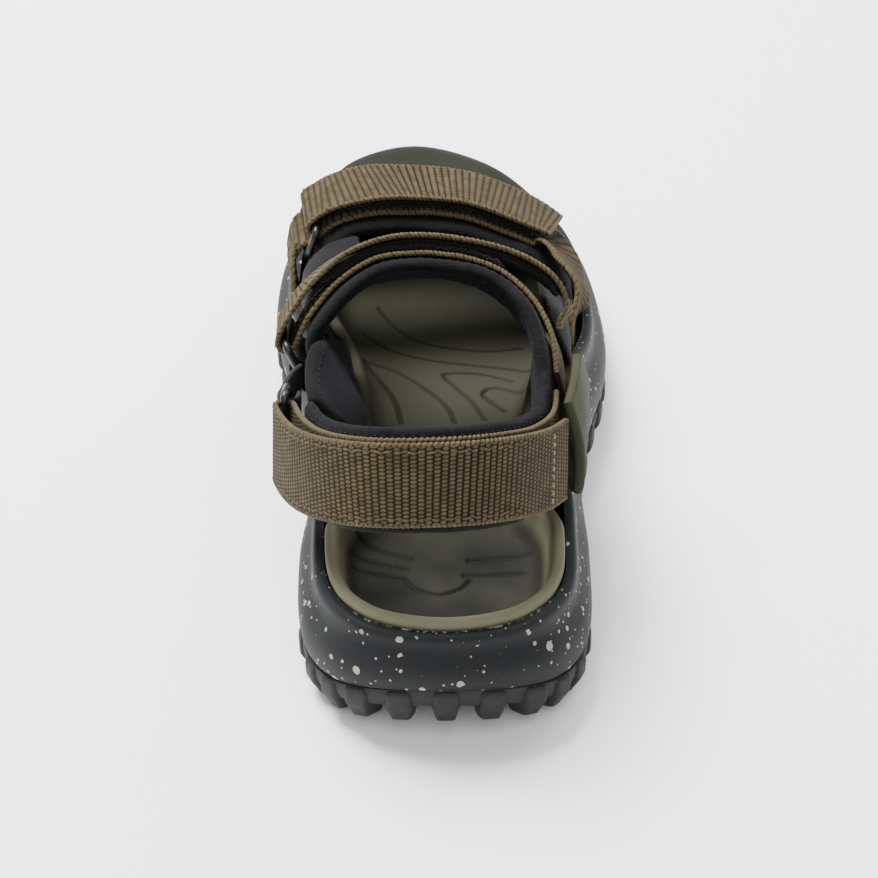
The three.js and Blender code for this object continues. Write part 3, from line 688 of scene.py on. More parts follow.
GROOVES = [
    [(-19.6, 193), (-13.4, 181), (-6, 174), (5, 170), (16, 168), (26.5, 169)],
    [(-24.7, 178), (-16, 169), (-6, 164), (8.6, 160), (23, 156), (30, 152)],
    [(-30, 168), (-24.6, 162), (-13.4, 155), (-5, 146), (1.6, 136), (4.3, 126)],
    [(-25, 162), (-19.4, 150), (-14.3, 137), (-12.5, 125)],
    [(22.7, 149), (14.2, 153.5), (7, 155), (1.2, 154), (4.6, 147), (10, 137.5), (13.6, 127)],
    [(26.7, 138), (21, 144), (15.6, 145), (13.3, 142), (16, 137), (20, 131)],
    [(-26.6, 61), (-9.3, 55)], [(-26.8, 54.4), (-10.5, 50)], [(-26.2, 48.4), (-12.5, 45.5)],
    [(7.3, 53.6), (24.3, 54.8)], [(5.8, 47), (23.5, 47)],
    [(-11.7, 46), (-8.5, 41.4), (-1.3, 38.6), (4.5, 41), (7.8, 45)],
]


def groove_depth(points, width=1.2, depth=1.0):
    """Depth of the moulded grooves: depth * (1 - d^2/width^2)^2 at distance d from the nearest groove."""
    nearest = np.full(len(points), 1e9)
    for groove in GROOVES:
        line = spline(groove, np.linspace(0, len(groove) - 1, 60))
        nearest = np.minimum(nearest, ((points[:, None, :2] - line) ** 2).sum(-1).min(1))
    return depth * np.maximum(0, 1 - nearest / width ** 2) ** 2


RIM_POINTS = 30  # points of a cross-section, from each end, that stay free of grooves


def build_footbed():
    """Cross-sections from heel to toe. Each runs up one rolled rim, over the cupped floor and down the other;
    the floor between the rims is a straight mix of its two edges."""
    station = np.linspace(0, 1, 471)
    across = np.linspace(0, 1, 124)[1:-1, None, None]

    def rim(side):
        base, inward, _ = outline_at(station / 2 if side < 0 else 1 - station / 2)
        y = base[:, 1]
        outer, top, low = WALL_INSET + slot_at(y), wall_top_at(y) + 2.6, floor_at(y)
        pairs = [(outer + 1.6, low - 4), (outer + 0.8, top - 5.6), (outer + 0.1, top - 2.2), (outer, top - 1),
                 (outer + 0.5, top), (outer + 1.5, top + 0.45), (outer + 2.6, top + 0.35),
                 (outer + RIM_THICK - 0.8, top - 0.4), (outer + RIM_THICK, top - 2.2),
                 (outer + RIM_THICK + 0.9, mix(low, top, 0.5)),
                 (outer + RIM_THICK + 2.4, mix(low, top, 0.24)),
                 (outer + RIM_THICK + 5, mix(low, top, 0.06)), (outer + RIM_THICK + 8, low)]
        pairs = stacked_spline(np.array([[a + 0 * y, b + 0 * y] for a, b in pairs]), 40)
        points = base + inward * pairs[:, 0, :, None]
        points[..., 2] = pairs[:, 1]
        return points

    left, right = rim(-1), rim(1)
    floor = mix(left[-1][None], right[-1][None], across)
    floor[..., 2] -= 0.8 * (4 * across[..., 0] * (1 - across[..., 0]))
    section = np.concatenate([left, floor, right[::-1]]).transpose(1, 0, 2)
    shape = section.shape
    points = section.reshape(-1, 3)
    inside = np.zeros(shape[:2])
    inside[:, RIM_POINTS:-RIM_POINTS] = 1
    depth = groove_depth(points) * inside.ravel()
    points[:, 2] -= depth
    faces = grid_faces(shape[0], shape[1], around=True)
    # tread (1 on the floor, 0 up the rims) and the heel's share steer the painted highlight on the heel's rim
    # and the painted shade and shadow on the tread; depth steers the painted shade in the grooves
    y = points[:, 1]
    tread = 1 - smooth(0.2, 0.75, (points[:, 2] - floor_at(y)) / (wall_top_at(y) - floor_at(y)))
    groove = np.stack([depth, tread, 1 - smooth(52, 92, y)], 1)
    piece = make_piece("footbed_moulded", points, faces, MATERIALS["footbed"], {"groove": groove}, tidy=True)
    attach(piece, "sandal", "footbed", "footbed")


# ---- Wraps and straps ----

class Wrap:
    """The middle line of a band. Each row holds a point and the direction of the width there."""

    def __init__(self, rows):
        self.rows = rows
        self.points = np.array([r[0] for r in rows], float)
        self.sides = np.array([r[1] for r in rows], float)
        self.last = len(rows) - 1
        self.fine = np.linspace(0, self.last, self.last * 40 + 1)
        self.length = lengths_along(spline(self.points, self.fine))

    def at(self, row):
        """(points, along, side, out) at those rows. out = along x side."""
        row = np.atleast_1d(np.asarray(row, float))
        along = unit(spline(self.points, row + 2e-3) - spline(self.points, row - 2e-3))
        side = spline(self.sides, row)
        side = unit(side - along * np.sum(side * along, 1, keepdims=True))
        return spline(self.points, row), along, side, np.cross(along, side)

    def arc(self, row):
        return np.interp(row, self.fine, self.length)

    def row_at(self, arc):
        return np.interp(arc, self.length, self.fine)

    def place(self, row, across, outward):
        """Points at those rows, moved across the width and along out."""
        point, _, side, out = self.at(row)
        return point + side * np.reshape(across, (-1, 1)) + out * np.reshape(outward, (-1, 1))


def turned_wrap(base, spacing, retrace, tail=()):
    """The base rows, half a circle of radius spacing / 2 round the bar, then back over the retraced rows
    spaced off the base, then the tail."""
    inner = Wrap(base)
    point, along, side, out = (v[0] for v in inner.at(inner.last))
    centre = point - out * spacing / 2
    angle = np.pi * np.arange(1, TURN_STEPS + 1) / TURN_STEPS
    turn = [(centre + (out * math.cos(a) + along * math.sin(a)) * spacing / 2, side) for a in angle]
    back_point, _, back_side, back_out = inner.at(retrace)
    back = list(zip(back_point - back_out * spacing, back_side))
    wrap = Wrap([*base, *turn, *back, *tail])
    wrap.inner, wrap.centre, wrap.axis = inner, centre, side
    wrap.hinge = inner.last + TURN_STEPS
    wrap.turn = (point, point - out * spacing)
    return wrap


def rows_of(*groups):
    """Rows from groups of points that share one width direction, which comes last in each group."""
    return [(point, group[-1]) for group in groups for point in group[:-1]]


STRAPS = {
    "forefoot": dict(
        base=rows_of(
            (slot_point(1, 150, 2.4, 24), slot_point(1, 154, 2.5, 30), slot_point(1, 158, 3, 37),
             [0.1, 0.87, -0.48]),
            ([43.6, 166.5, 43], [0.12, 0.88, -0.46]), ([41, 177, 46], [0.06, 0.93, -0.35]),
            ([35.8, 188, 48.5], [0, 0.97, -0.2]),
            ([25, 192, 53.6], [8.5, 195, 59], [-10, 194, 62], [0, 0.99, -0.13]),
            ([-22, 191, 63.8], [0, 0.99, -0.1]), ([-32.4, 188.4, 62.3], [0, 0.99, -0.08]),
            ([-38.6, 187.4, 58.6], [0, 0.99, -0.05])),
        retrace=[10.5, 10, 9, 8, 7, 6, 5.5, 5.1], tail=[], loop=(5.4, 9.4), drop=[-0.3, -0.3, -0.9]),
    "instep": dict(
        base=rows_of(
            ([34.8, 91, 61], [33.2, 104.5, 68.6], [0.12, 0.66, -0.74]),
            ([26.6, 117.5, 74.2], [0.06, 0.74, -0.67]),
            ([17, 126, 78.4], [0, 0.78, -0.63]), ([5, 130.5, 80.8], [-8, 131.2, 81.5], [0, 0.79, -0.61]),
            ([-20, 129.4, 81], [0, 0.8, -0.6]), ([-31, 124.6, 77.4], [0, 0.86, -0.5]),
            ([-39.4, 119, 70.6], [0, 0.92, -0.4]), ([-44, 116.4, 62.6], [0, 0.95, -0.31])),
        retrace=[8.4, 7.6, 6.6, 5.6, 4.6, 3.8],
        tail=rows_of(([17, 131.8, 83.2], [0, 0.79, -0.61]), ([27, 129, 79.8], [0, 0.78, -0.63]),
                     ([34.4, 125.4, 75.4], [0.05, 0.76, -0.64]),
                     ([37.6, 122, 69.8], [36.4, 119.6, 64.6], [0.08, 0.76, -0.64])),
        loop=(2.9, 7.2), drop=[0.42, 0, -0.9]),
    "heel": dict(
        base=rows_of(
            ([33.2, 77, 57.5], [31.4, 61, 60.6], [25, 45.5, 67], [15.4, 31.5, 75.2], [4, 23.2, 80],
             [-8, 20.4, 81.7], [-19.5, 22.6, 80.4], [-29.5, 31, 75.4], [-36.4, 43.5, 68.6],
             [-40.8, 56, 63.6], [0, 0.38, 0.92]),
            ([-43.4, 67, 60.6], [0, 0.36, 0.93])),
        retrace=[9, 8, 7, 6, 5, 4, 3, 2, 1.35], tail=[], loop=(1.7, 8.4), drop=[0.1, 0.97, -0.26]),
}
ANCHORS = {
    "forefoot": rows_of((slot_point(-1, 170, 2.1, 21), slot_point(-1, 170, 2.1, 33), [-0.12, 1, 0]),
                        ([-45.4, 175.5, 41], [-0.1, 1, -0.1])),
    "instep": rows_of((slot_point(-1, 115, 1.2, 26), [-0.06, 1, 0]),
                      (slot_point(-1, 115, 1.4, 42.6), [-0.06, 1, -0.05]),
                      ([-36.4, 115, 46.6], [0, 0.98, -0.2])),
    "heel": rows_of(([-42.6, 98, 53.5], [0.1, 0.3, 0.95]), ([-45, 91, 55], [0.06, 0.32, 0.94])),
}
WRAPS = {name: turned_wrap(s["base"], TURN_SPACING, s["retrace"], s["tail"]) for name, s in STRAPS.items()}


def weave_relief(s, w):
    """Height of the plain weave, 0 to 1. Ribs lie RIB_PITCH apart along s; in each rib the yarn's bumps lie
    YARN_PITCH apart along w, and every other rib is set over by half of that. A bump is
    cos(pi u)^0.6 * cos(pi v)^0.9, u and v being the shares of a pitch from its middle."""
    rib = np.round(s / RIB_PITCH)
    u = s / RIB_PITCH - rib
    v = w / YARN_PITCH - 0.5 * (rib % 2)
    v = v - np.round(v)
    return np.cos(np.pi * u).clip(0) ** 0.6 * np.cos(np.pi * v).clip(0) ** 0.9


def webbing(name, wrap, start, end, material="webbing", reach=WEBBING_WIDTH / 2, amount=1.0):
    """A length of webbing between two rows. Its section is a flat oval; both faces carry the weave's relief
    and the edges carry the selvedge, slanting loops of yarn LOOP_PITCH apart."""
    s = np.linspace(wrap.arc(start), wrap.arc(end), max(int(np.ptp(wrap.arc([start, end])) / 0.42), 4) + 1)
    columns = int(round(2 * reach / 0.2875))
    across = np.linspace(-reach, reach, columns + 1)
    w = np.concatenate([across, across[-2:0:-1]])
    face = np.concatenate([np.ones(columns + 1), -np.ones(columns - 1)])
    point, _, side, out = (v[:, None, :] for v in wrap.at(wrap.row_at(s)))
    S, W = np.meshgrid(s, w, indexing="ij")
    bump = weave_relief(S + (face < 0) * RIB_PITCH, W)
    edge = np.sqrt(1 - np.clip((np.abs(W) - (reach - 0.8)) / 0.8, 0, 1) ** 2)
    twist = np.abs(np.cos(np.pi * (S / LOOP_PITCH + 0.3 * face * edge))) ** 0.8
    border = smooth(reach - 1.5, reach - 0.7, np.abs(W))
    bump = mix(bump, twist, border)
    loops = smooth(reach - 1.1, reach, np.abs(W)) * (0.5 * twist - 0.35)
    height = face * (0.58 + 0.32 * amount * bump) * (0.12 + 0.88 * edge)
    sway = 0.12 * np.sin(S / 9.0) * amount
    points = point + side * (W + np.sign(W) * loops * amount + sway)[..., None] + out * height[..., None]
    attributes = {"weave": np.stack([S * MM, W * MM, 0.01 * face + 0 * S], -1),
                  "relief": np.stack([bump, 0 * S, 0 * S], -1)}
    return make_piece(name, *skin(points), MATERIALS[material], attributes, sharp=75)


def tape(name, wrap, start, end, grain):
    """Hook or loop tape: a flat band whose side away from the webbing is rough, each point moved by its own
    random amount, with tufts of pile standing along it."""
    s = np.arange(wrap.arc(start), wrap.arc(end), grain)
    across = np.linspace(-TAPE_WIDTH / 2, TAPE_WIDTH / 2, int(TAPE_WIDTH / grain) + 1)
    w = np.concatenate([across, across[::-1]])
    n = np.repeat([TAPE_TOP, TAPE_TOP - TAPE_THICK], len(across))
    point, _, side, out = (v[:, None, :] for v in wrap.at(wrap.row_at(s)))
    rough = rng.uniform(-0.35, 0.2, (len(s), len(w))) * (n < TAPE_TOP)
    jog = rng.uniform(-0.3, 0.3, (len(s), len(w))) * (np.abs(w) > TAPE_WIDTH / 2 - 0.01)
    points = point + side * (w + jog)[..., None] + out * (n + rough)[..., None]
    return make_piece(name, *skin(points), MATERIALS["tape"])


def tufts(name, wrap, start, end, count, body, material="tape"):
    """Short fibres along the tape's long edges: thin three-sided spikes leaning at random."""
    row = rng.uniform(start, end, count)
    edge = rng.choice([-1.0, 1.0], count)
    base = wrap.place(row, edge * (TAPE_WIDTH / 2 - 0.2), TAPE_TOP - rng.uniform(0, TAPE_THICK, count))
    _, along, side, out = wrap.at(row)
    lean = rng.normal(0, 0.5, (count, 2))
    z = unit(side * edge[:, None] + along * lean[:, :1] + out * lean[:, 1:])
    x = unit(np.cross(z, along))
    length = rng.uniform(0.6, 1.9, count)[:, None, None]
    axes = np.stack([x, np.cross(z, x), z], 1) * np.concatenate([np.ones((count, 2, 1)), length], 1)
    ring = [[0.09 * math.cos(a), 0.09 * math.sin(a), 0] for a in (0, 2.1, 4.2)]
    shape = np.array(ring + [[0.02, 0, 1.0]])
    faces = np.array([[0, 1, 3], [1, 2, 3], [2, 0, 3], [0, 2, 1]])
    points, faces = repeat_shape(shape, faces, base, axes)
    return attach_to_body(make_piece(name, points, faces, MATERIALS[material]), body)


def wire_ring(name, centre, axis, drop):
    """A rounded rectangle of round wire: four quarter circles joined by straight bars. axis is along its long
    bars, drop from the strap's bar to the other."""
    corner = 2.2
    quarter = np.linspace(0, np.pi / 2, 9)
    far = RING_PITCH - corner
    arcs = []
    for k, (end, down) in enumerate(((1, corner), (1, far), (-1, far), (-1, corner))):
        angle = quarter + np.pi / 2 * (k - 1)
        x = end * (RING_LENGTH / 2 - corner) + corner * np.cos(angle)
        arcs.append(centre + axis * x[:, None] + drop * (down + corner * np.sin(angle))[:, None])
    arcs = np.array(arcs)
    bars = mix(arcs[:, -1:], np.roll(arcs, -1, 0)[:, :1], np.linspace(0, 1, 6)[1:-1, None])
    path = np.concatenate([arcs, bars], 1).reshape(-1, 3)
    points, faces = tube(path, RING_WIRE, 16, closed=True, up=np.cross(axis, drop))
    return make_piece(name, points, faces, MATERIALS["ring"])


def build_strap(name, wrap):
    """One length of webbing in four pieces that meet end to end: the strap, the fold round the ring's bar,
    the flap and the pull end. Tapes lie between its two layers, and an anchor band holds the ring."""
    flap, grip_body = f"{name}_flap_body", f"{name}_grip_body"
    low, high = STRAPS[name]["loop"]
    cut, seam = wrap.inner.last - 0.35, wrap.last - 1.5
    flap_start, flap_end = wrap.hinge + 0.4, seam - 0.3
    strap = webbing(f"{name}_strap_webbing", wrap, 0, cut)
    attach(strap, "sandal", "webbing", f"{name}_strap")
    fold = webbing(f"{name}_fold_webbing", wrap, cut, flap_start)
    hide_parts(f"{name}_strap")
    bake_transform(fold)
    middle = webbing(f"{name}_flap_webbing", wrap, flap_start, flap_end)
    attach(middle, flap, "webbing", f"{name}_flap")
    grip = webbing(f"{name}_grip_webbing", wrap, flap_end, wrap.last)
    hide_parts(f"{name}_grip")
    ends = wrap.at([flap_end, seam + 0.3])[0]
    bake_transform(grip)
    loop = tape(f"{name}_loop_pile", wrap, low, high, 0.8)
    attach(loop, "sandal", "tape", f"{name}_loop_tape")
    hook = tape(f"{name}_hook_pile", wrap, wrap.hinge + 2, seam - 0.05, 0.8)
    attach(hook, flap, "tape", f"{name}_hook_tape")
    tufts(f"{name}_loop_tufts", wrap, low, high, 700, "sandal")
    tufts(f"{name}_hook_tufts", wrap, wrap.hinge + 2, seam - 0.1, 500, flap)
    tufts(f"{name}_loop_threads", wrap, low, high, 320, "sandal", "thread")
    drop = np.array(STRAPS[name]["drop"], float)
    drop = unit(drop - wrap.axis * (drop @ wrap.axis))
    ring = wire_ring(f"{name}_ring_wire", wrap.centre, wrap.axis, drop)
    attach(ring, f"{name}_ring_body", "ring", f"{name}_ring")
    bar = wrap.centre + drop * RING_PITCH
    start = bar + np.cross(-drop, wrap.axis) * ANCHOR_SPACING / 2
    approach = [(start + drop * 4, wrap.axis), (start, wrap.axis)]
    anchor = turned_wrap([*ANCHORS[name], *approach], ANCHOR_SPACING, [len(ANCHORS[name])])
    kind, relief = ("webbing", 1.0) if name == "forefoot" else ("nylon", 0.45)
    band = webbing(f"{name}_anchor_band", anchor, 0, anchor.last, kind, ANCHOR_REACH, relief)
    attach(band, "sandal", kind, f"{name}_anchor")


# ---- Panels and padding ----

RIDGE_RELIEF = 0.32  # of half the sheet's thickness


def moulded_panel(name, net, thick, node, material="moulded", slot="moulded", ridges=0, across=70, along=90):
    """A moulded sheet. ridges counts shallow waves across its width, cos(2 pi ridges u), which fade out at
    the top and the bottom as sin(pi t)."""
    middle = net_grid(net, across, along)
    u = ease_ends(across)[None, :]
    fade = np.sin(np.pi * ease_ends(along))[:, None]
    relief = RIDGE_RELIEF * np.cos(2 * np.pi * ridges * u) * fade if ridges else 0.0
    points, faces, _ = slab(middle, thick, 1.1, relief)
    piece = make_piece(name, points, faces, MATERIALS[material], tidy=True)
    attach(piece, "sandal", slot, node)


def nearest_values(points, known, values):
    """For each point the value of the nearest known point."""
    found = np.empty(len(points))
    for part in np.array_split(np.arange(len(points)), max(len(points) // 400, 1)):
        gap = ((points[part, None] - known[None]) ** 2).sum(-1)
        found[part] = values[gap.argmin(1)]
    return found


def coordinates(mesh):
    flat = np.empty(len(mesh.vertices) * 3)
    mesh.vertices.foreach_get("co", flat)
    return flat.reshape(-1, 3)


def settled(piece):
    """The mesh with its modifiers applied, in place of the old one."""
    graph = bpy.context.evaluated_depsgraph_get()
    source = piece.evaluated_get(graph)
    mesh = bpy.data.meshes.new_from_object(source, preserve_all_data_layers=True, depsgraph=graph)
    piece.modifiers.clear()
    piece.data = mesh
    mesh.polygons.foreach_set("use_smooth", np.ones(len(mesh.polygons), bool))
    return mesh


CLOTH_FRAMES, CLOTH_PRESSURE = 20, 4.0


def fill_pad(piece, border, seam, voxel=1.25, scale=20.0, cap=0.9):
    """Fills a pad: an even remesh, then CLOTH_FRAMES frames of cloth under pressure at scale times its size,
    with its rim and its seam held. border holds each original point's distance from the rim. No point moves
    more than cap mm."""
    known = coordinates(piece.data) / MM
    remesh = piece.modifiers.new("even", "REMESH")
    remesh.mode, remesh.voxel_size = "VOXEL", voxel * MM
    mesh = settled(piece)
    start = coordinates(mesh)
    distance = nearest_values(start / MM, known, border)
    held = np.maximum(1 - smooth(0.4, 1.6, distance), 1 - smooth(0.3, 1.2, np.abs(distance - seam)))
    group = piece.vertex_groups.new(name="held")
    for level in (1.0, 0.5):
        chosen = np.flatnonzero((held > level - 0.25) & (held <= level + 0.25))
        group.add(chosen.tolist(), level, "REPLACE")
    mesh.vertices.foreach_set("co", (start * scale).ravel())
    cloth = piece.modifiers.new("fill", "CLOTH")
    settings = cloth.settings
    settings.quality, settings.mass, settings.air_damping = 4, 0.3, 4.0
    settings.tension_stiffness = settings.compression_stiffness = 12.0
    settings.shear_stiffness, settings.bending_stiffness = 6.0, 1.5
    settings.use_pressure, settings.uniform_pressure_force = True, CLOTH_PRESSURE
    settings.vertex_group_mass = "held"
    settings.effector_weights.gravity = 0.0
    cloth.point_cache.frame_start, cloth.point_cache.frame_end = 1, CLOTH_FRAMES
    for frame_number in range(1, CLOTH_FRAMES + 1):
        bpy.context.scene.frame_set(frame_number)
    mesh = settled(piece)
    move = coordinates(mesh) / scale - start
    size = np.linalg.norm(move, axis=1, keepdims=True)
    move *= np.minimum(1, cap * MM / np.maximum(size, 1e-12))
    mesh.vertices.foreach_set("co", (start + move).ravel())
    mesh.update()
    bpy.context.scene.frame_set(1)
    piece.vertex_groups.clear()
    relax = piece.modifiers.new("relax", "SMOOTH")
    relax.factor, relax.iterations = 0.5, 4
    settled(piece)


RAY_START = 6.0


def on_surface(piece, path, direction):
    """The path moved onto the piece: the hit of a ray cast against direction, from RAY_START out, with the
    normals there."""
    mesh = piece.data
    corners, starts = np.empty(len(mesh.loops), np.int32), np.empty(len(mesh.polygons), np.int32)
    mesh.loops.foreach_get("vertex_index", corners)
    mesh.polygons.foreach_get("loop_start", starts)
    tree = BVHTree.FromPolygons(coordinates(mesh).tolist(), np.split(corners, starts[1:]))
    points, normals = [], []
    for p, d in zip(to_row(path), direction):
        hit, normal, _, _ = tree.ray_cast(Vector(p + d * RAY_START * MM), Vector(-d), 2 * RAY_START * MM)
        if hit is not None:
            points.append(np.array(hit) / MM - HEEL_OFFSET)
            normals.append(np.array(normal))
    return np.array(points), np.array(normals)


def seam_loop(middle, seam):
    """Rows and columns of the grid points along a loop seam mm inside the grid's border."""
    last = np.array(middle.shape[:2]) - 1
    size = [np.linalg.norm(np.diff(middle, axis=k), axis=-1).sum(k).mean() for k in (0, 1)]
    near = seam / np.array(size) * last
    corners = np.array([[0, 0], [1, 0], [1, 1], [0, 1], [0, 0]])
    corners = np.where(corners, last - near, near)
    steps = np.linspace(0, 1, 60)[:, None]
    loop = np.concatenate([mix(a, b, steps) for a, b in zip(corners, corners[1:])])
    return np.clip(np.round(loop).astype(int), 0, last).T


def padded_piece(name, middle, thick, node, edge=2.4, seam=5.0):
    """A neoprene pad over a grid of middle points, with a line of stitches seam mm inside its border on both
    faces."""
    points, faces, border = slab(middle, thick, edge)
    piece = make_piece(name, points, faces, MATERIALS["lining"], tidy=True)
    known = points + HEEL_OFFSET
    keep = nearest_values(coordinates(piece.data) / MM, known, border)
    fill_pad(piece, keep, seam)
    attach(piece, "sandal", "lining", node)
    rows, columns = seam_loop(middle, seam)
    normal = grid_normals(middle)[rows, columns]
    for tag, side in (("out", 1), ("in", -1)):
        path, outward = on_surface(piece, middle[rows, columns], side * normal)
        thread = MATERIALS["dark_thread"]
        row = stitches(f"{name}_stitch_{tag}", path, outward, thread, "sandal", 1.9, 0.9, 0.5)


LINING_DEPTH = WEBBING_THICK / 2 + GAP + 0.6 + PADDING / 2


def lining_grid(strap, span, reach, before=(), after=(), columns=26):
    """Middle points of a lining: a band inside a strap, LINING_DEPTH towards the foot."""
    inner = Wrap(STRAPS[strap]["base"])
    rows = np.linspace(span[0], span[1], int(round(span[1] - span[0])) + 1)
    point, _, side, out = inner.at(rows)
    wrap = Wrap([*before, *zip(point + out * LINING_DEPTH, side), *after])
    along = wrap.row_at(np.linspace(0, wrap.length[-1], int(wrap.length[-1] / 1.3)))
    point, _, side, _ = wrap.at(along)
    across = mix(reach[0], reach[1], ease_ends(columns, 0.4))
    return point[:, None] + side[:, None] * across[None, :, None]


def build_linings():
    before = rows_of((slot_point(1, 185, 4.9, 22), [0, 1, 0]), (slot_point(1, 185, 4.9, 34), [0, 1, -0.1]))
    after = rows_of(([-38, 184, 51], [0, 1, 0]), ([-38, 182, 42], [-0.05, 1, 0]),
                    (slot_point(-1, 179, 5, 33), slot_point(-1, 179, 5.1, 22), [-0.08, 1, 0]))
    instep_before = rows_of(([30.2, 80, 54], [0.12, 0.66, -0.74]))
    instep_after = rows_of(([-36.8, 116, 59.5], [0, 0.96, -0.27]))
    heel_before = rows_of(([27.6, 93, 58], [0, 0.38, 0.92]))
    for name, middle in (
            ("forefoot", lining_grid("forefoot", (5, 10), (-16, 11), before, after)),
            ("instep", lining_grid("instep", (0, 8.4), (-19, 14), instep_before, instep_after)),
            ("heel", lining_grid("heel", (0, 9.6), (-16.5, 14.5), heel_before))):
        padded_piece(f"{name}_lining_pad", middle, PADDING, f"{name}_lining", seam=3.5)


def build_collars():
    medial = [[[-24.5, 80, 48.5], [-28.2, 73, 58], [-33.4, 68, 67], [-38, 66, 75]],
              [[-23.6, 94, 48.5], [-27, 89, 57.5], [-33, 84, 66.5], [-39.6, 81, 75.5]],
              [[-27, 109, 48.5], [-28.8, 104, 55], [-32.2, 98, 63.5], [-38, 94, 75.5]],
              [[-29.4, 128, 48.5], [-30.6, 125, 53], [-31.2, 121, 58], [-32.4, 111, 66]]]
    lateral = [[[28.2, 68, 47.6], [27.8, 63, 57], [27, 61.4, 66], [27.2, 60.6, 74]],
               [[28, 88, 48], [28.8, 83, 57], [28.4, 79, 66], [29.2, 75, 75]],
               [[29.4, 112, 47.6], [30.6, 106, 53.5], [29, 96, 64], [28.8, 85.5, 76]],
               [[30.2, 121, 47.6], [30.8, 117, 56], [29.6, 110, 66], [28.8, 97, 74.5]]]
    for name, net in (("medial", medial), ("lateral", lateral)):
        padded_piece(f"{name}_collar_pad", net_grid(net, 26, 26), PADDING, f"{name}_collar")


def tucked(side, depth, *places):
    """The points of a panel's foot that stand in the slot, at each (y, z) of places."""
    return [slot_point(side, y, depth, z) for y, z in places]


def build_quarters():
    medial = [
        [*tucked(-1, 3.9, (138, 24), (137, 41)), [-40.5, 136, 54], [-39, 138, 63], [-31, 141.5, 68.5],
         [-23, 143.5, 70.5]],
        [*tucked(-1, 3.9, (150, 24), (149, 39)), [-42, 149, 51], [-40.5, 150, 60.5], [-33, 153, 66.5],
         [-24, 155, 69]],
        [*tucked(-1, 3.9, (160, 24), (160, 37)), [-42.4, 162, 48], [-41, 163.5, 57], [-34.5, 166, 62.5],
         [-25, 167.5, 65]]]
    lateral = [
        [*tucked(1, 4.4, (128, 24), (127, 42.5)), [38.6, 118, 50], [36.4, 116, 58], [31.5, 121, 66]],
        [*tucked(1, 4.4, (138, 24), (138, 41)), [39, 132, 48], [36.6, 130, 57], [30.5, 134, 65]],
        [*tucked(1, 4.4, (148, 23), (149, 38)), [38.4, 147, 45], [35.6, 146, 55], [29.6, 148, 62]],
        [*tucked(1, 4.4, (160, 23), (160, 36)), [38.6, 162, 44], [35, 162, 53], [29.4, 162, 59]]]
    for name, net in (("medial", medial), ("lateral", lateral)):
        middle = net_grid(net, 22, 34)
        padded_piece(f"{name}_quarter_pad", middle, 2.0, f"{name}_quarter", edge=1.4, seam=3.0)


def build_panels():
    def foot(side, station, tops):
        x, y, _ = plan_point(side, station, WALL_INSET + 2.5)[0]
        return [[x, y, float(floor_at(y))], [x, y, float(wall_top_at(y)) + 3], *tops]

    cap = [foot(-1, 0.79, [[-43, 208, 41], [-41.5, 206, 45], [-38.5, 206, 48.5]]),
           foot(-1, 0.88, [[-37, 226, 43.5], [-32.5, 218, 48.5], [-28.5, 209, 52]]),
           foot(-1, 0.94, [[-28, 240, 45.5], [-24, 229, 50], [-19, 211, 54]]),
           foot(-1, 1, [[-8.5, 248, 46.2], [-8, 233, 50], [-7, 212, 54]]),
           foot(1, 0.93, [[15.5, 240, 44.5], [12, 229, 48.6], [8, 210, 52.5]]),
           foot(1, 0.86, [[30, 225, 41.5], [25.5, 217, 45.5], [21, 207, 49]]),
           foot(1, 0.78, [[41, 202, 38], [38, 201, 42], [33, 201, 45]])]
    moulded_panel("toe_cap_shell", cap, 2.0, "toe_cap", "cap", across=150)
    wing = [[*tucked(1, 1.6, (94, 24), (91, 43)), [38.8, 61, 45], [39, 60, 62], [35, 61, 78]],
            [*tucked(1, 1.6, (112, 24), (110, 45)), [41, 84, 53], [40.6, 76, 65], [37.6, 74, 78]],
            [*tucked(1, 1.6, (134, 22), (132, 41)), [43, 114, 48], [42, 99, 60], [39, 88, 76]]]
    moulded_panel("lateral_wing_shell", wing, 2.8, "lateral_wing", ridges=3)
    wing = [[*tucked(-1, 4.3, (82, 26), (80, 45)), [-33.6, 70, 57], [-38, 64, 70]],
            [*tucked(-1, 4.3, (104, 26), (103, 45)), [-32.6, 94, 54], [-36.6, 90, 63]],
            [*tucked(-1, 4.3, (132, 24), (131, 41.5)), [-31.5, 124, 47], [-34.6, 118, 52]]]
    moulded_panel("medial_wing_shell", wing, 1.6, "medial_wing", "nylon", "nylon")


# ---- Stitching on the straps ----

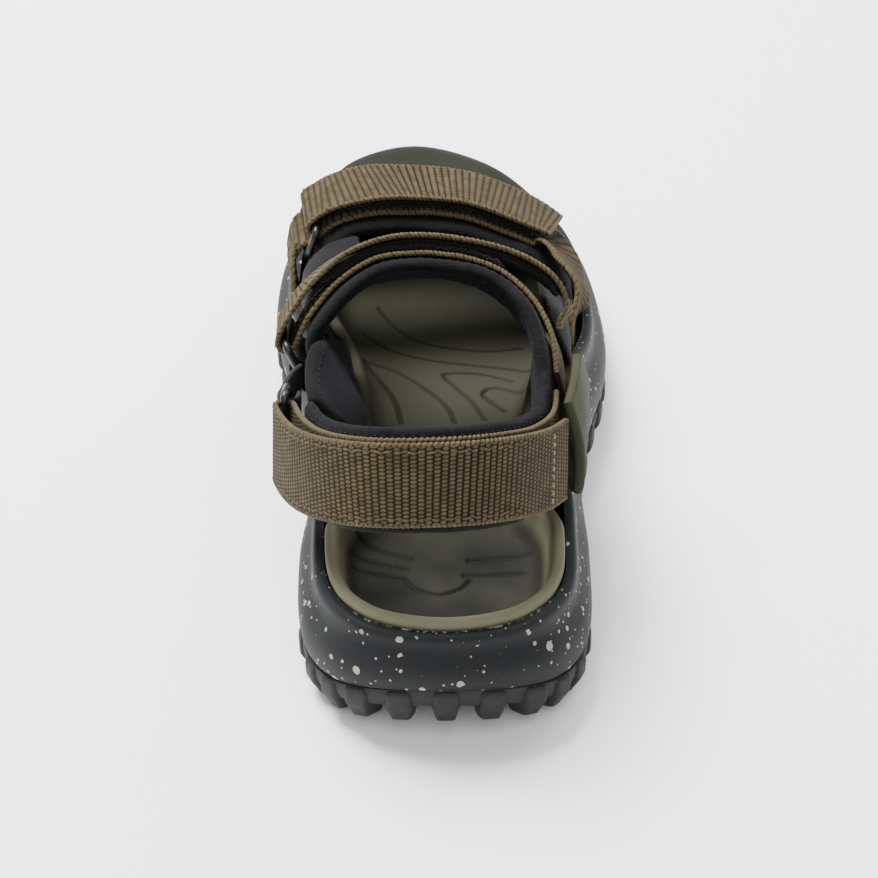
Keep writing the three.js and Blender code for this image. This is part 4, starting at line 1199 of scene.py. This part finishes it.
def build_stitching():
    """Stitches on the heel strap's outer face: a row along each edge of the flap, and one across the pull
    end."""
    wrap = WRAPS["heel"]
    above = WEBBING_THICK / 2 + 0.02
    ends = wrap.arc([wrap.hinge + 0.6, wrap.last - 1.85])
    rows = wrap.row_at(np.linspace(*ends, 120))
    for tag, across in (("top", 9.5), ("bottom", -9.5)):
        path = wrap.place(rows, np.full(120, across), np.full(120, above))
        stitches(f"heel_flap_stitch_{tag}", path, wrap.at(rows)[3], MATERIALS["thread"], "heel_flap_body")
    rows = np.full(60, wrap.row_at(wrap.arc(wrap.last) - 12.0))
    path = wrap.place(rows, np.linspace(-10.5, 10.5, 60), np.full(60, above))
    pale = MATERIALS["pale_thread"]
    stitches("heel_grip_stitch", path, wrap.at(rows)[3], pale, "heel_grip_body", 1.7, 0.6, 0.8)


# ---- Stage ----

FLOOR_REACH = 6
LAMPS = (("key", (-0.5, 0.5, 1.5), 0.9, 100),  # name, place in metres, size in metres, watts
         ("fill", (0.1, -1.15, 1.25), 1.2, 16),
         ("back", (0.7, 1.0, 1.1), 1.0, 14))


def build_stage():
    floor_paint = Paint("floor_pale", Specular_IOR_Level=0.3)
    grain = floor_paint.noise(floor_paint.place(), 60.0, 2.0)
    shade = floor_paint.blend(grain, tone(251, 251, 250), tone(253, 253, 252))
    material = floor_paint.finish(shade, 0.85 + 0.05 * grain)
    mesh = bpy.data.meshes.new("floor")
    corners = [(x * FLOOR_REACH, y * FLOOR_REACH, -0.0005) for x, y in ((-1, -1), (1, -1), (1, 1), (-1, 1))]
    mesh.from_pydata(corners, [], [(0, 1, 2, 3)])
    mesh.materials.append(material)
    add_object("floor", mesh)
    world = bpy.data.worlds.new("studio")
    world.use_nodes = True
    world.node_tree.nodes["Background"].inputs["Color"].default_value = (0.92, 0.94, 0.97, 1)
    world.node_tree.nodes["Background"].inputs["Strength"].default_value = 0.6
    bpy.context.scene.world = world
    for name, place, size, power in LAMPS:
        lamp = add_object(name, bpy.data.lights.new(name, "AREA"))
        lamp.data.size, lamp.data.energy = size, power
        lamp.location = place
        aim(lamp, (0, 0, 0.03))


build_outsole()
build_midsole()
build_footbed()
build_panels()
for strap_name, strap_wrap in WRAPS.items():
    build_strap(strap_name, strap_wrap)
build_linings()
build_collars()
build_quarters()
build_stitching()
build_stage()
